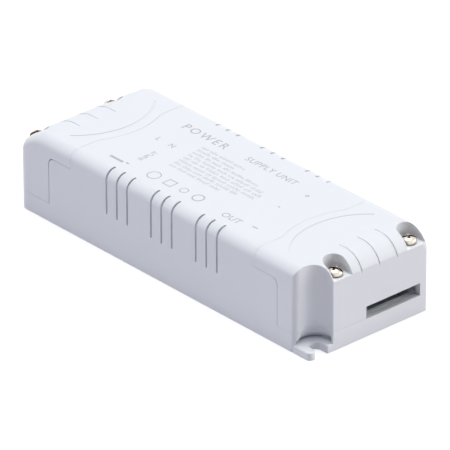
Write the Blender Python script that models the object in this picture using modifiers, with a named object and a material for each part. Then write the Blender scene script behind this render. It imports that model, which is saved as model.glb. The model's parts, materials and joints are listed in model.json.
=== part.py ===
"""LED driver in a moulded case with a screwed cover over the terminals at each end.

Metres, +Z up. The origin is the centre of the underside. +X runs to the output end,
and the long side with the open corner at the output end faces -Y.
"""
from math import acos, atan2, cos, pi, sin, sqrt, tan

import bmesh
import bpy
from mathutils import Matrix, Vector

# Case
CASE_LENGTH = 0.1130
CASE_WIDTH = 0.0410
CASE_HEIGHT = 0.0240
WALL = 0.0018
FIT = 0.0003
TOP_EDGE_RADIUS = 0.0025
INPUT_CORNER_RADIUS = 0.0030
OUTPUT_CORNER_RADIUS = 0.0012
SHOULDER_RADIUS = 0.0067
INPUT_SHOULDER_START = 0.0098
INPUT_SHOULDER_RADIUS = 0.0110
SHOULDER_START = 0.0062

# Fixing notches and ears at two diagonal corners
NOTCH_DEPTH = 0.0055
NOTCH_WIDTH = 0.0080
NOTCH_RADIUS = 0.0045
NOTCH_LIP_RADIUS = 0.0010
NOTCH_EDGE_RADIUS = 0.0003
EAR_THICKNESS = 0.00215
EAR_SLOT_WIDTH = 0.0036
EAR_SLOT_INSET = 0.0044
EAR_SLOT_DEPTH = 0.0042
EAR_TIP_RADIUS = 0.0010
WASHER_RADIUS = 0.0044
WASHER_HEIGHT = 0.0049
WASHER_TOP_RADIUS = 0.0030
WASHER_TOP_HEIGHT = 0.0068

# Cover outline on the sides and the top
SEAM_LOW_HEIGHT = 0.0054
SEAM_HIGH_DROP = 0.0050
SEAM_LOW_REACH = 0.0121
SEAM_HIGH_REACH = 0.0209
SEAM_CORNER_RADIUS = 0.0020
SEAM_ARC_RADIUS = 0.0240
SEAM_ARC_RISE = 0.0026
TONGUE_REACH = 0.0020
TONGUE_THICKNESS = 0.0010
COLLAR_THICKNESS = 0.0012
COLLAR_TOP_DROP = 0.0064

# Screw pockets and cover screws
POCKET_FLOOR_DROP = 0.0043
POCKET_RADIUS = 0.00315
POCKET_INSET = 0.0032
POCKET_SIDE_INSET = 0.0041
POCKET_NOTCH_GAP = 0.0035
POST_RADIUS = 0.0020
POST_LENGTH = 0.0082
SCREW_HEAD_RADIUS = 0.00215
SCREW_HEAD_HEIGHT = 0.0017
SCREW_DOME_SHARE = 0.65
SCREW_SHANK_RADIUS = 0.0011
SCREW_LENGTH = 0.0090
SCREW_SLOT_LENGTH = 0.0037
SCREW_CROSS_LENGTH = 0.0026
SCREW_SLOT_WIDTH = 0.0006
SCREW_SLOT_DEPTH = 0.0007

# Vent slits, end flutes, ring groove and cable slots
VENT_GROUPS = 3
VENTS_PER_GROUP = 3
VENT_GROUP_SHARE = 0.5258
VENT_PITCH = 0.00403
VENT_WIDTH = 0.0008
VENT_REACH = 0.0024
VENT_BOTTOM_DROP = 0.0127
FLUTE_COUNT = 3
FLUTE_MARGIN = 0.0066
FLUTE_WIDTH = 0.0006
FLUTE_DEPTH = 0.0005
FLUTE_LEAD = 0.0020
RING_INSET = 0.0030
RING_WIDTH = 0.0004
RING_DEPTH = 0.0002
SLOT_LENGTH = 0.01865
SLOT_SIDE_INSET = 0.00287
SLOT_HEIGHT = 0.0033
CABLE_RIB_THICKNESS = 0.0012
CABLE_RIB_SETBACK = 0.0026

# Base plate and bulkheads
BASE_THICKNESS = 0.0020
STANDOFF_RADIUS = 0.0025
STANDOFF_HEIGHT = 0.0023
STANDOFF_END_INSET = 0.0070
STANDOFF_EDGE_INSET = 0.0045
BASE_RIB_HEIGHT = 0.0012
BASE_RIB_THICKNESS = 0.0012
BULKHEAD_THICKNESS = 0.0014

# Circuit board
BOARD_THICKNESS = 0.0016
BOARD_CLEARANCE = 0.0007
PART_GAP = 0.0008
ISOLATION_SLOT_WIDTH = 0.0015

# Terminal blocks
POLE_COUNT = 2
POLE_PITCH = 0.0070
TERMINAL_DEPTH = 0.0100
TERMINAL_HEIGHT = 0.0105
TERMINAL_END_INSET = 0.0015
CLAMP_WIDTH = 0.0050
CLAMP_LENGTH = 0.0062
CLAMP_HEIGHT = 0.0060
CLAMP_WALL = 0.0008
CLAMP_FLOOR = 0.0010
CLAMP_SCREW_RADIUS = 0.0013
CLAMP_HEAD_RADIUS = 0.0019
CLAMP_HEAD_HEIGHT = 0.0016
CLAMP_SCREW_LENGTH = 0.0036

# Transformer and choke
CORE_WIDTH = 0.0200
CORE_THICKNESS = 0.0055
CORE_LEG_SHARE = 0.18
CORE_CENTRE_SHARE = 0.275
BOBBIN_WALL_SHARE = 0.04
BOBBIN_FLANGE = 0.0030
WINDING_THICKNESS = 0.0022
CHOKE_WIDTH = 0.0130
CHOKE_LENGTH = 0.0150
CHOKE_LEG = 0.0032
CHOKE_WINDING_THICKNESS = 0.0012

# Other parts on the board
FUSE_RADIUS = 0.0032
FUSE_HEIGHT = 0.0080
VARISTOR_RADIUS = 0.0045
VARISTOR_THICKNESS = 0.0035
X_CAPACITOR_LENGTH = 0.0130
X_CAPACITOR_WIDTH = 0.0060
X_CAPACITOR_HEIGHT = 0.0120
BRIDGE_LENGTH = 0.0085
BRIDGE_WIDTH = 0.0048
BRIDGE_HEIGHT = 0.0034
BULK_RADIUS = 0.0063
BULK_HEIGHT = 0.0150
CAN_GROOVE_SHARE = 0.12
CAN_LIP_SHARE = 0.06
CAN_RIM_SHARE = 0.10
POWER_BODY_WIDTH = 0.0100
POWER_BODY_THICKNESS = 0.0034
POWER_BODY_HEIGHT = 0.0085
POWER_LEG_LENGTH = 0.0030
POWER_LEG_WIDTH = 0.0009
POWER_LEG_PITCH = 0.0025
POWER_TAB_THICKNESS = 0.0013
POWER_TAB_HEIGHT = 0.0120
HEATSINK_THICKNESS = 0.0012
HEATSINK_WIDTH = 0.0130
HEATSINK_HEIGHT = 0.0140
HEATSINK_WING = 0.0030
CHIP_LENGTH = 0.0049
CHIP_WIDTH = 0.0039
CHIP_HEIGHT = 0.0014
CHIP_PIN_PITCH = 0.00127
CHIP_PIN_WIDTH = 0.0004
CHIP_PIN_LENGTH = 0.0011
OPTO_LENGTH = 0.0046
OPTO_WIDTH = 0.0065
OPTO_HEIGHT = 0.0035
Y_CAPACITOR_RADIUS = 0.0035
Y_CAPACITOR_THICKNESS = 0.0025
RESISTOR_RADIUS = 0.0012
RESISTOR_LENGTH = 0.0060
DIODE_RADIUS = 0.0016
DIODE_LENGTH = 0.0070
AXIAL_LEAD = 0.0020
LEAD_RADIUS = 0.0003
INDUCTOR_RADIUS = 0.0036
INDUCTOR_WAIST = 0.0018
INDUCTOR_HEIGHT = 0.0080
INDUCTOR_FLANGE = 0.0012
OUTPUT_CAPACITOR_RADIUS = 0.0040
OUTPUT_CAPACITOR_HEIGHT = 0.0120
OUTPUT_CAPACITOR_COUNT = 2
ROUND_STEPS = 24
NEARLY_ALL = 0.999

case_half = CASE_LENGTH / 2
side_half = CASE_WIDTH / 2
OUTPUT_SHOULDER = (SHOULDER_RADIUS, SHOULDER_START)
INPUT_SHOULDER = (INPUT_SHOULDER_RADIUS, INPUT_SHOULDER_START)
seam_high_z = CASE_HEIGHT - SEAM_HIGH_DROP
seam_low_x = case_half - SEAM_LOW_REACH
seam_high_x = case_half - SEAM_HIGH_REACH
arc_apex_x = seam_high_x - SEAM_ARC_RISE
vent_group_pitch = arc_apex_x * VENT_GROUP_SHARE
collar_top = CASE_HEIGHT - COLLAR_TOP_DROP
pocket_floor = CASE_HEIGHT - POCKET_FLOOR_DROP
pocket_x = case_half - POCKET_INSET
pocket_near_y = NOTCH_WIDTH - side_half + POCKET_NOTCH_GAP
pocket_far_y = side_half - POCKET_SIDE_INSET
pocket_middle_y = (pocket_near_y + pocket_far_y) / 2
flute_pitch = (pocket_far_y - pocket_near_y - 2 * FLUTE_MARGIN) / (FLUTE_COUNT - 1)
slot_far_y = side_half - SLOT_SIDE_INSET
slot_near_y = slot_far_y - SLOT_LENGTH
slot_top = SEAM_LOW_HEIGHT + SLOT_HEIGHT
sleeve_inset = WALL + FIT
collar_inset = sleeve_inset + COLLAR_THICKNESS
bulkhead_x = arc_apex_x - TONGUE_REACH - 2 * FIT - BULKHEAD_THICKNESS / 2
board_bottom = BASE_THICKNESS + STANDOFF_HEIGHT + FIT
board_top = board_bottom + BOARD_THICKNESS
seat = board_top + FIT
board_half = case_half - NOTCH_DEPTH - collar_inset - BOARD_CLEARANCE
board_side = side_half - collar_inset - BOARD_CLEARANCE
standoff_x = board_half - STANDOFF_END_INSET
standoff_y = board_side - STANDOFF_EDGE_INSET
room_length = 2 * (bulkhead_x - BULKHEAD_THICKNESS / 2 - PART_GAP)
room_width = 2 * (board_side - PART_GAP)
room_height = CASE_HEIGHT - WALL - seat
core_half_length = CORE_WIDTH / 2
core_leg = CORE_WIDTH * CORE_LEG_SHARE
core_centre_leg = CORE_WIDTH * CORE_CENTRE_SHARE
bobbin_wall = CORE_WIDTH * BOBBIN_WALL_SHARE
row_ends = X_CAPACITOR_LENGTH + 2 * BULK_RADIUS + 2 * OUTPUT_CAPACITOR_RADIUS
core_row = row_ends + CORE_WIDTH + 3 * PART_GAP
power_row = row_ends + HEATSINK_WIDTH + OPTO_LENGTH + 6 * PART_GAP
row_length = max(core_row, power_row)
power_depth = POWER_BODY_THICKNESS + POWER_TAB_THICKNESS + HEATSINK_THICKNESS
output_width = Y_CAPACITOR_THICKNESS + 2 * INDUCTOR_RADIUS + 4 * OUTPUT_CAPACITOR_RADIUS + 6 * PART_GAP
row_width = max(output_width, 2 * core_half_length + power_depth + 5 * PART_GAP)
row_height = BULK_HEIGHT + BOARD_CLEARANCE
part_scale = min(room_length / row_length, room_width / row_width, room_height / row_height)
FAR_BELOW = -CASE_HEIGHT
FAR_ABOVE = 2 * CASE_HEIGHT
HALF_TURN = Matrix.Rotation(pi, 4, "Z")


# Scene, collections and materials

def clear_scene():
    for item in list(bpy.data.objects):
        bpy.data.objects.remove(item, do_unlink=True)


def new_collection(name):
    collection = bpy.data.collections.new(name)
    bpy.context.scene.collection.children.link(collection)
    return collection


def make_material(name, colour, roughness, metallic=0.0):
    material = bpy.data.materials.new(name)
    material.use_nodes = True
    shader = material.node_tree.nodes["Principled BSDF"]
    shader.inputs["Base Color"].default_value = (*colour, 1.0)
    shader.inputs["Roughness"].default_value = roughness
    shader.inputs["Metallic"].default_value = metallic
    material.diffuse_color = (*colour, 1.0)
    return material


def make_materials():
    return {
        "white": make_material("white_moulding", (0.80, 0.82, 0.87), 0.45),
        "nickel": make_material("nickel", (0.78, 0.75, 0.68), 0.25, 1.0),
        "board": make_material("board_laminate", (0.06, 0.28, 0.12), 0.5),
        "green": make_material("terminal_green", (0.10, 0.42, 0.22), 0.5),
        "black": make_material("black_moulding", (0.02, 0.02, 0.022), 0.5),
        "ferrite": make_material("ferrite", (0.05, 0.05, 0.055), 0.7),
        "copper": make_material("enamelled_copper", (0.55, 0.22, 0.08), 0.35, 1.0),
        "tape": make_material("yellow_tape", (0.85, 0.62, 0.08), 0.5),
        "aluminium": make_material("aluminium", (0.72, 0.73, 0.75), 0.35, 1.0),
        "blue": make_material("blue_coating", (0.05, 0.18, 0.50), 0.4),
        "sleeve": make_material("black_sleeve", (0.03, 0.035, 0.05), 0.35),
        "brown": make_material("brown_moulding", (0.30, 0.12, 0.05), 0.45),
    }


# Outlines

def fillet_path(corners, steps=6):
    """Points of a closed outline whose corners (x, y, radius) are rounded with arcs."""
    points = []
    count = len(corners)
    for index, (x, y, radius) in enumerate(corners):
        corner = Vector((x, y))
        before = Vector(corners[index - 1][:2]) - corner
        after = Vector(corners[(index + 1) % count][:2]) - corner
        if radius <= 0:
            points.append(corner)
            continue
        half_angle = before.angle(after) / 2
        inwards = (before.normalized() + after.normalized()).normalized()
        centre = corner + inwards * (radius / sin(half_angle))
        first = corner + before.normalized() * (radius / tan(half_angle)) - centre
        last = corner + after.normalized() * (radius / tan(half_angle)) - centre
        turn = first.angle_signed(last)
        for step in range(steps + 1):
            points.append(centre + Matrix.Rotation(-turn * step / steps, 2) @ first)
    return points


def turned_corners(corners):
    """The same corners after half a turn about the origin."""
    return [(-x, -y, radius) for x, y, radius in corners]


def notch_corners(inset, steps=6):
    """Lip, round wall and end edge of the notch at +X, -Y, in the order of the outline."""
    centre_x = case_half - NOTCH_DEPTH + NOTCH_RADIUS
    centre_y = NOTCH_WIDTH - side_half - NOTCH_RADIUS
    radius = NOTCH_RADIUS + inset
    end_x = case_half - inset
    last_angle = acos(min(end_x - centre_x, 0) / radius)
    corners = [(centre_x - radius, inset - side_half, max(NOTCH_LIP_RADIUS - inset, 0))]
    for step in range(steps + 1):
        angle = pi + (last_angle - pi) * step / steps
        corners.append((centre_x + radius * cos(angle), centre_y + radius * sin(angle), 0))
    if end_x > centre_x:
        corners.append((end_x, centre_y + radius, max(NOTCH_EDGE_RADIUS - inset, 0)))
    return corners


def plan_outline(inset, far_radius=OUTPUT_CORNER_RADIUS):
    """Plan view of the case; far_radius is the corner at +X, +Y."""
    x = case_half - inset
    y = side_half - inset
    corners = [(-x, -y, max(INPUT_CORNER_RADIUS - inset, 0))]
    corners += notch_corners(inset)
    corners += [(x, y, max(far_radius - inset, 0))]
    corners += turned_corners(notch_corners(inset))
    return fillet_path(corners)


def side_outline(inset, low, shoulder):
    """Side view: flat top, an arc over each shoulder, upright ends."""
    outer_radius, start = shoulder
    radius = outer_radius - inset
    centre_z = CASE_HEIGHT - outer_radius
    shoulder_x = case_half - start
    reach = start - inset
    end_angle = atan2(sqrt(radius ** 2 - reach ** 2), reach)
    steps = 8
    arc = []
    for step in range(steps + 1):
        angle = end_angle + (pi / 2 - end_angle) * step / steps
        arc.append(Vector((shoulder_x + radius * cos(angle), centre_z + radius * sin(angle))))
    mirrored = [Vector((-point.x, point.y)) for point in reversed(arc)]
    bottom = [Vector((inset - case_half, low)), Vector((case_half - inset, low))]
    return bottom + arc + mirrored


def cross_outline(inset, low):
    """End view: upright sides and rounded top edges."""
    y = side_half - inset
    z = CASE_HEIGHT - inset
    radius = max(TOP_EDGE_RADIUS - inset, FIT)
    return fillet_path([(-y, low, 0), (y, low, 0), (y, z, radius), (-y, z, radius)])


# Solids

PLANES = {
    "X": Matrix(((0, 0, 1, 0), (1, 0, 0, 0), (0, 1, 0, 0), (0, 0, 0, 1))),
    "Y": Matrix(((1, 0, 0, 0), (0, 0, -1, 0), (0, 1, 0, 0), (0, 0, 0, 1))),
    "Z": Matrix.Identity(4),
}


def new_object(name, mesh, collection):
    item = bpy.data.objects.new(name, mesh)
    collection.objects.link(item)
    return item


def baked(item):
    """Replace an object by a mesh object with its modifiers or its curve applied."""
    graph = bpy.context.evaluated_depsgraph_get()
    mesh = bpy.data.meshes.new_from_object(item.evaluated_get(graph), depsgraph=graph)
    mesh.transform(item.matrix_world)
    name = item.name
    collection = item.users_collection[0]
    bpy.data.objects.remove(item, do_unlink=True)
    mesh.name = name
    return new_object(name, mesh, collection)


def prism(name, outlines, low, high, axis="Z"):
    """Extrude closed flat outlines along an axis, from low to high."""
    curve = bpy.data.curves.new(name, "CURVE")
    curve.dimensions = "2D"
    curve.fill_mode = "BOTH"
    curve.extrude = (high - low) / 2
    for outline in outlines:
        spline = curve.splines.new("POLY")
        spline.points.add(len(outline) - 1)
        for point, place in zip(spline.points, outline):
            point.co = (place[0], place[1], 0, 1)
        spline.use_cyclic_u = True
    item = new_object(name, curve, parts)
    middle = (high + low) / 2
    if axis == "Y":
        middle = -middle
    item.matrix_world = PLANES[axis] @ Matrix.Translation((0, 0, middle))
    bpy.context.view_layer.update()
    item = baked(item)
    tidy_mesh(item)
    return item


def tidy_mesh(item):
    """Weld the caps to the sides and turn all faces outwards."""
    shape = bmesh.new()
    shape.from_mesh(item.data)
    bmesh.ops.remove_doubles(shape, verts=shape.verts, dist=0.000002)
    bmesh.ops.recalc_face_normals(shape, faces=shape.faces)
    shape.to_mesh(item.data)
    shape.free()


def box(name, low, high, bevel=0.0):
    """A box between two corners, with all its edges rounded by bevel."""
    low = Vector(low)
    high = Vector(high)
    shape = bmesh.new()
    bmesh.ops.create_cube(shape, size=1.0)
    bmesh.ops.scale(shape, vec=high - low, verts=shape.verts)
    bmesh.ops.translate(shape, vec=(low + high) / 2, verts=shape.verts)
    if bevel:
        bmesh.ops.bevel(
            shape, geom=shape.edges, offset=bevel, segments=1, profile=0.5, affect="EDGES", material=-1
        )
    mesh = bpy.data.meshes.new(name)
    shape.to_mesh(mesh)
    shape.free()
    return new_object(name, mesh, parts)


def seated_box(name, place, size, bevel=0.0, base=None):
    """A box centred at place whose underside is at base."""
    base = seat if base is None else base
    low = (place[0] - size[0] / 2, place[1] - size[1] / 2, base)
    high = (place[0] + size[0] / 2, place[1] + size[1] / 2, base + size[2])
    return box(name, low, high, bevel)


def rod(name, place, radius, low, high, top_radius=None, steps=ROUND_STEPS, axis="Z"):
    """An upright or lying cylinder or cone between two heights along its axis."""
    shape = bmesh.new()
    bmesh.ops.create_cone(
        shape,
        cap_ends=True,
        segments=steps,
        radius1=radius,
        radius2=radius if top_radius is None else top_radius,
        depth=high - low,
    )
    bmesh.ops.translate(shape, vec=(0, 0, (low + high) / 2), verts=shape.verts)
    shape.transform(Matrix.Translation(Vector(place)) @ PLANES[axis])
    mesh = bpy.data.meshes.new(name)
    shape.to_mesh(mesh)
    shape.free()
    return new_object(name, mesh, parts)


def turned(name, place, profile, steps=ROUND_STEPS):
    """A turned shape: (radius, height) points down the outer side, from the axis to the axis."""
    shape = bmesh.new()
    points = [shape.verts.new((radius, 0, height)) for radius, height in profile]
    for first, second in zip(points, points[1:]):
        shape.edges.new((first, second))
    mesh = bpy.data.meshes.new(name)
    shape.to_mesh(mesh)
    shape.free()
    item = new_object(name, mesh, parts)
    screw = item.modifiers.new("Turn", "SCREW")
    screw.steps = steps
    screw.render_steps = steps
    screw.use_merge_vertices = True
    screw.merge_threshold = 0.00001
    item.location = place
    bpy.context.view_layer.update()
    return baked(item)


def combine(target, tools, operation):
    """Boolean each tool into the target, and remove the tools."""
    for tool in tools:
        modifier = target.modifiers.new(operation.title(), "BOOLEAN")
        modifier.operation = operation
        modifier.solver = "EXACT"
        modifier.object = tool
        bpy.context.view_layer.update()
        target = baked(target)
        bpy.data.objects.remove(tool, do_unlink=True)
    return target


def cut(target, *tools):
    return combine(target, tools, "DIFFERENCE")


def join(target, *tools):
    return combine(target, tools, "UNION")


def keep(target, *tools):
    return combine(target, tools, "INTERSECT")


def duplicate(item):
    return new_object(item.name, item.data.copy(), parts)


def half_turned(item):
    """The same shape after half a turn about the middle of the case."""
    item.data.transform(HALF_TURN)
    return item


def finish(item, name, material, smooth_angle=None):
    item.name = name
    item.data.name = name
    item.data.materials.clear()
    item.data.materials.append(material)
    if smooth_angle:
        item.data.shade_smooth()
        item.data.set_sharp_from_angle(angle=smooth_angle)
    return item


# Case

def envelope(inset, low, far_radius=OUTPUT_CORNER_RADIUS, shoulder=OUTPUT_SHOULDER):
    """The outer form of the closed case, moved inwards by inset."""
    body = prism("envelope", [plan_outline(inset, far_radius)], low, FAR_ABOVE)
    side = prism("side", [side_outline(inset, 2 * FAR_BELOW, shoulder)], -CASE_WIDTH, CASE_WIDTH, "Y")
    cross = prism("cross", [cross_outline(inset, 2 * FAR_BELOW)], -CASE_LENGTH, CASE_LENGTH, "X")
    return keep(body, side, cross)


def cover_side_zone(grow):
    """Side view of the space of the cover at +X, moved outwards by grow."""
    far = CASE_LENGTH
    low = SEAM_LOW_HEIGHT - grow
    step = seam_high_z - grow
    corners = [
        (far, low, 0),
        (far, FAR_ABOVE, 0),
        (seam_high_x - grow, FAR_ABOVE, 0),
        (seam_high_x - grow, step, 0),
        (seam_low_x - grow, step, SEAM_CORNER_RADIUS + grow),
        (seam_low_x - grow, low, 0),
    ]
    return fillet_path(corners)


def arc_outline(radius, apex_x, chord_x, steps=14):
    """The segment between an arc that bulges to the middle of the case and its chord."""
    centre_x = apex_x + radius
    half_chord = sqrt(radius ** 2 - (centre_x - chord_x) ** 2)
    half_angle = atan2(half_chord, centre_x - chord_x)
    points = []
    for step in range(steps + 1):
        angle = pi - half_angle + 2 * half_angle * step / steps
        points.append(Vector((centre_x + radius * cos(angle), radius * sin(angle))))
    return points


def cover_zone(grow):
    """The space of the cover at +X: its side outline, and the arc on the top."""
    zone = prism("zone", [cover_side_zone(grow)], -CASE_WIDTH, CASE_WIDTH, "Y")
    outline = arc_outline(SEAM_ARC_RADIUS + grow, arc_apex_x - grow, seam_high_x + WALL)
    return join(zone, prism("arc", [outline], seam_high_z + FIT, FAR_ABOVE + FIT))


def pocket_places():
    """The screw centres of the cover at +X."""
    return [(pocket_x, pocket_near_y), (pocket_x, pocket_far_y)]


def pocket(place, radius, low):
    """The scoop over a cover screw, round at the back and open to the end."""
    x, y = place
    back = radius * NEARLY_ALL
    outline = fillet_path([
        (x - radius, y - radius, back),
        (case_half + radius, y - radius, 0),
        (case_half + radius, y + radius, 0),
        (x - radius, y + radius, back),
    ])
    return prism("pocket", [outline], low, FAR_ABOVE)


def shoulder_arc(depth, shoulder, steps=8):
    """Points over the shoulder at +X, depth below its surface, from the top down."""
    outer_radius, start = shoulder
    radius = outer_radius - depth
    centre_z = CASE_HEIGHT - outer_radius
    shoulder_x = case_half - start
    points = []
    for step in range(steps + 1):
        angle = pi / 2 * (1 - step / steps)
        points.append(Vector((shoulder_x + radius * cos(angle), centre_z + radius * sin(angle))))
    return points


def flute(y, shoulder):
    """A thin groove that starts on the top and runs over the shoulder."""
    start_x = case_half - shoulder[1] - FLUTE_LEAD
    outline = [Vector((start_x, FAR_ABOVE)), Vector((start_x, CASE_HEIGHT - FLUTE_DEPTH / 2))]
    outline += shoulder_arc(FLUTE_DEPTH, shoulder)
    outline += [Vector((CASE_LENGTH, outline[-1].y)), Vector((CASE_LENGTH, FAR_ABOVE))]
    return prism("flute", [outline], y - FLUTE_WIDTH / 2, y + FLUTE_WIDTH / 2, "Y")


def ring_groove():
    """The shallow arc groove on the cover, inside the arc of the seam."""
    radius = SEAM_ARC_RADIUS - RING_INSET
    centre_x = arc_apex_x + RING_INSET + radius
    half_angle = pi / 4
    steps = 12
    outer = []
    inner = []
    for step in range(steps + 1):
        angle = pi - half_angle + 2 * half_angle * step / steps
        outer.append(Vector((centre_x + radius * cos(angle), radius * sin(angle))))
        edge = radius - RING_WIDTH
        inner.append(Vector((centre_x + edge * cos(angle), edge * sin(angle))))
    return prism("ring", [outer + inner[::-1]], CASE_HEIGHT - RING_DEPTH, FAR_ABOVE)


def ear_slot_centre():
    """The centre of the round end of the ear's slot at +X."""
    return (case_half - EAR_SLOT_DEPTH + EAR_SLOT_WIDTH / 2, EAR_SLOT_INSET - side_half)


def washer_recess():
    """Room for the head and washer of the fixing screw, in the foot of the notch wall at +X."""
    height = WASHER_TOP_HEIGHT - EAR_THICKNESS
    place = (*ear_slot_centre(), 0)
    profile = [
        (0, EAR_THICKNESS + height),
        (WASHER_TOP_RADIUS, EAR_THICKNESS + height),
        (WASHER_RADIUS, WASHER_HEIGHT),
        (WASHER_RADIUS, EAR_THICKNESS),
        (0, EAR_THICKNESS),
    ]
    return turned("washer", place, profile)


def post_bore(radius, low, high):
    """A pair of upright cylinders on the screw centres of the cover at +X."""
    first, second = [rod("bore", (*place, 0), radius, low, high, steps=16) for place in pocket_places()]
    return join(first, second)


def make_cover(far_radius, shoulder):
    """A cover at +X, whose corner away from the notch has the far radius."""
    cover = envelope(0, 0, far_radius, shoulder)
    hollow = envelope(WALL, FAR_BELOW, far_radius, shoulder)
    under = pocket_floor - WALL
    for place in pocket_places():
        hollow = cut(hollow, pocket(place, POCKET_RADIUS + WALL, under))
    hollow = join(hollow, post_bore(POST_RADIUS + FIT, 0, under - FIT))
    cover = keep(cut(cover, hollow), cover_zone(0))
    for index in range(FLUTE_COUNT):
        y = pocket_middle_y + (index - (FLUTE_COUNT - 1) / 2) * flute_pitch
        cover = cut(cover, flute(y, shoulder))
    for place in pocket_places():
        cover = cut(cover, pocket(place, POCKET_RADIUS, pocket_floor))
    cover = cut(cover, post_bore(SCREW_SHANK_RADIUS + FIT, 0, FAR_ABOVE))
    cover = cut(cover, ring_groove(), washer_recess())
    cover = join(cover, cover_tongue(), cable_rib())
    return cut(cover, cable_slot(case_half - WALL - FIT))


def cover_tongue():
    """The thin step that reaches under the top of the housing."""
    under = CASE_HEIGHT - WALL - FIT
    reach = TONGUE_REACH
    wide = arc_outline(SEAM_ARC_RADIUS + reach, arc_apex_x - reach, seam_high_x + reach)
    narrow = arc_outline(SEAM_ARC_RADIUS - FIT, arc_apex_x + FIT, seam_high_x + reach - FIT)
    step = prism("tongue", [wide], under - TONGUE_THICKNESS, under)
    bridge = prism("bridge", [narrow], under - TONGUE_THICKNESS / 2, under + WALL / 2)
    room = prism("room", [plan_outline(WALL + 2 * FIT)], FAR_BELOW, FAR_ABOVE)
    return keep(join(step, bridge), room)


def cable_rib():
    """The rib inside the cover that presses the cable down behind the slot."""
    right = case_half - collar_inset - CABLE_RIB_SETBACK
    left = right - CABLE_RIB_THICKNESS
    high_y = pocket_far_y - POST_RADIUS - 2 * FIT
    return box("rib", (left, slot_near_y, slot_top), (right, high_y, CASE_HEIGHT - WALL / 2))


def cable_slot(inner_x):
    """The opening for the cable, from inner_x out through the end."""
    low = (inner_x, slot_near_y, SEAM_LOW_HEIGHT - FIT)
    high = (CASE_LENGTH, slot_far_y, slot_top)
    return box("slot", low, high)


def vent(x, side):
    """A slit over the top edge and down one long side."""
    inner = side * (side_half - VENT_REACH)
    outer = side * (side_half + WALL)
    low = (x - VENT_WIDTH / 2, min(inner, outer), CASE_HEIGHT - VENT_BOTTOM_DROP)
    high = (x + VENT_WIDTH / 2, max(inner, outer), FAR_ABOVE)
    return box("vent", low, high)


def vent_places():
    places = []
    for group in range(VENT_GROUPS):
        middle = (group - (VENT_GROUPS - 1) / 2) * vent_group_pitch
        for index in range(VENTS_PER_GROUP):
            places.append(middle + (index - (VENTS_PER_GROUP - 1) / 2) * VENT_PITCH)
    return places


def ear():
    """The fixing ear at +X, -Y, with its open slot and rounded tip."""
    low_x = case_half - NOTCH_DEPTH - WALL / 3
    wall_y = NOTCH_WIDTH - side_half
    high_y = wall_y + WALL / 2
    slot_y = EAR_SLOT_INSET - side_half
    half = EAR_SLOT_WIDTH / 2
    slot_x = case_half - EAR_SLOT_DEPTH
    corners = [
        (low_x, -side_half, 0),
        (case_half, -side_half, EAR_TIP_RADIUS),
        (case_half, slot_y - half, EAR_TIP_RADIUS),
        (slot_x, slot_y - half, half * NEARLY_ALL),
        (slot_x, slot_y + half, half * NEARLY_ALL),
        (case_half, slot_y + half, NOTCH_EDGE_RADIUS),
        (case_half, wall_y + NOTCH_EDGE_RADIUS / 2, 0),
        (case_half - WALL / 3, high_y, 0),
        (low_x, high_y, 0),
    ]
    plate = prism("ear", [fillet_path(corners)], -2 * WALL, EAR_THICKNESS)
    return cut(plate, prism("inside", [plan_outline(WALL / 2)], FAR_BELOW, FAR_ABOVE))


def ring_wall(outer, inner, low, high):
    """A wall that follows the outline of the case, between two insets."""
    return prism("wall", [plan_outline(outer), plan_outline(inner)], low, high)


def make_collar():
    """The inner wall that the covers fit over, with the low strip that carries it."""
    clear = BASE_THICKNESS + FIT
    middle = WALL / 2
    collar = ring_wall(sleeve_inset, collar_inset, clear, collar_top)
    collar = join(collar, ring_wall(middle, collar_inset - FIT, clear - FIT / 2, SEAM_LOW_HEIGHT - 2 * FIT))
    link = ring_wall(middle, collar_inset - FIT, clear + FIT, collar_top - FIT)
    link_end = seam_low_x - 2 * FIT
    link = keep(link, box("span", (-link_end, -CASE_WIDTH, 0), (link_end, CASE_WIDTH, CASE_HEIGHT)))
    collar = join(collar, link)
    posts = post_bore(POST_RADIUS, collar_top - POST_LENGTH, collar_top - FIT)
    collar = join(collar, duplicate(posts), half_turned(posts))
    inner_x = case_half - collar_inset - FIT
    collar = cut(collar, cable_slot(inner_x), half_turned(cable_slot(inner_x)))
    gap = seam_low_x - 2 * WALL
    return cut(collar, box("gap", (-gap, -CASE_WIDTH, FAR_BELOW), (gap, CASE_WIDTH, FAR_ABOVE)))


def make_bulkhead(side):
    """The wall between the electronics and a terminal chamber, which holds the board down."""
    x = side * bulkhead_x
    y = side_half - WALL / 2
    low = (x - BULKHEAD_THICKNESS / 2, -y, board_top + FIT)
    high = (x + BULKHEAD_THICKNESS / 2, y, CASE_HEIGHT - WALL / 2)
    return box("bulkhead", low, high)


def make_housing(material):
    housing = cut(envelope(0, -WALL), envelope(WALL, FAR_BELOW))
    housing = cut(housing, cover_zone(FIT), half_turned(cover_zone(FIT)))
    housing = join(housing, make_collar(), ear(), half_turned(ear()))
    housing = join(housing, make_bulkhead(1), make_bulkhead(-1))
    housing = cut(housing, washer_recess(), half_turned(washer_recess()))
    for x in vent_places():
        for side in (-1, 1):
            housing = cut(housing, vent(x, side))
    bores = post_bore(SCREW_SHANK_RADIUS + FIT, collar_top - POST_LENGTH - FIT, FAR_ABOVE)
    housing = cut(housing, duplicate(bores), half_turned(bores))
    below = box("below", (-CASE_LENGTH, -CASE_WIDTH, FAR_BELOW), (CASE_LENGTH, CASE_WIDTH, 0))
    finish(cut(housing, below), "housing", material)


def make_covers(material):
    output_cover = make_cover(OUTPUT_CORNER_RADIUS, OUTPUT_SHOULDER)
    input_cover = make_cover(INPUT_CORNER_RADIUS, INPUT_SHOULDER)
    finish(output_cover, "output_cover", material)
    finish(half_turned(input_cover), "input_cover", material)


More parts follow.
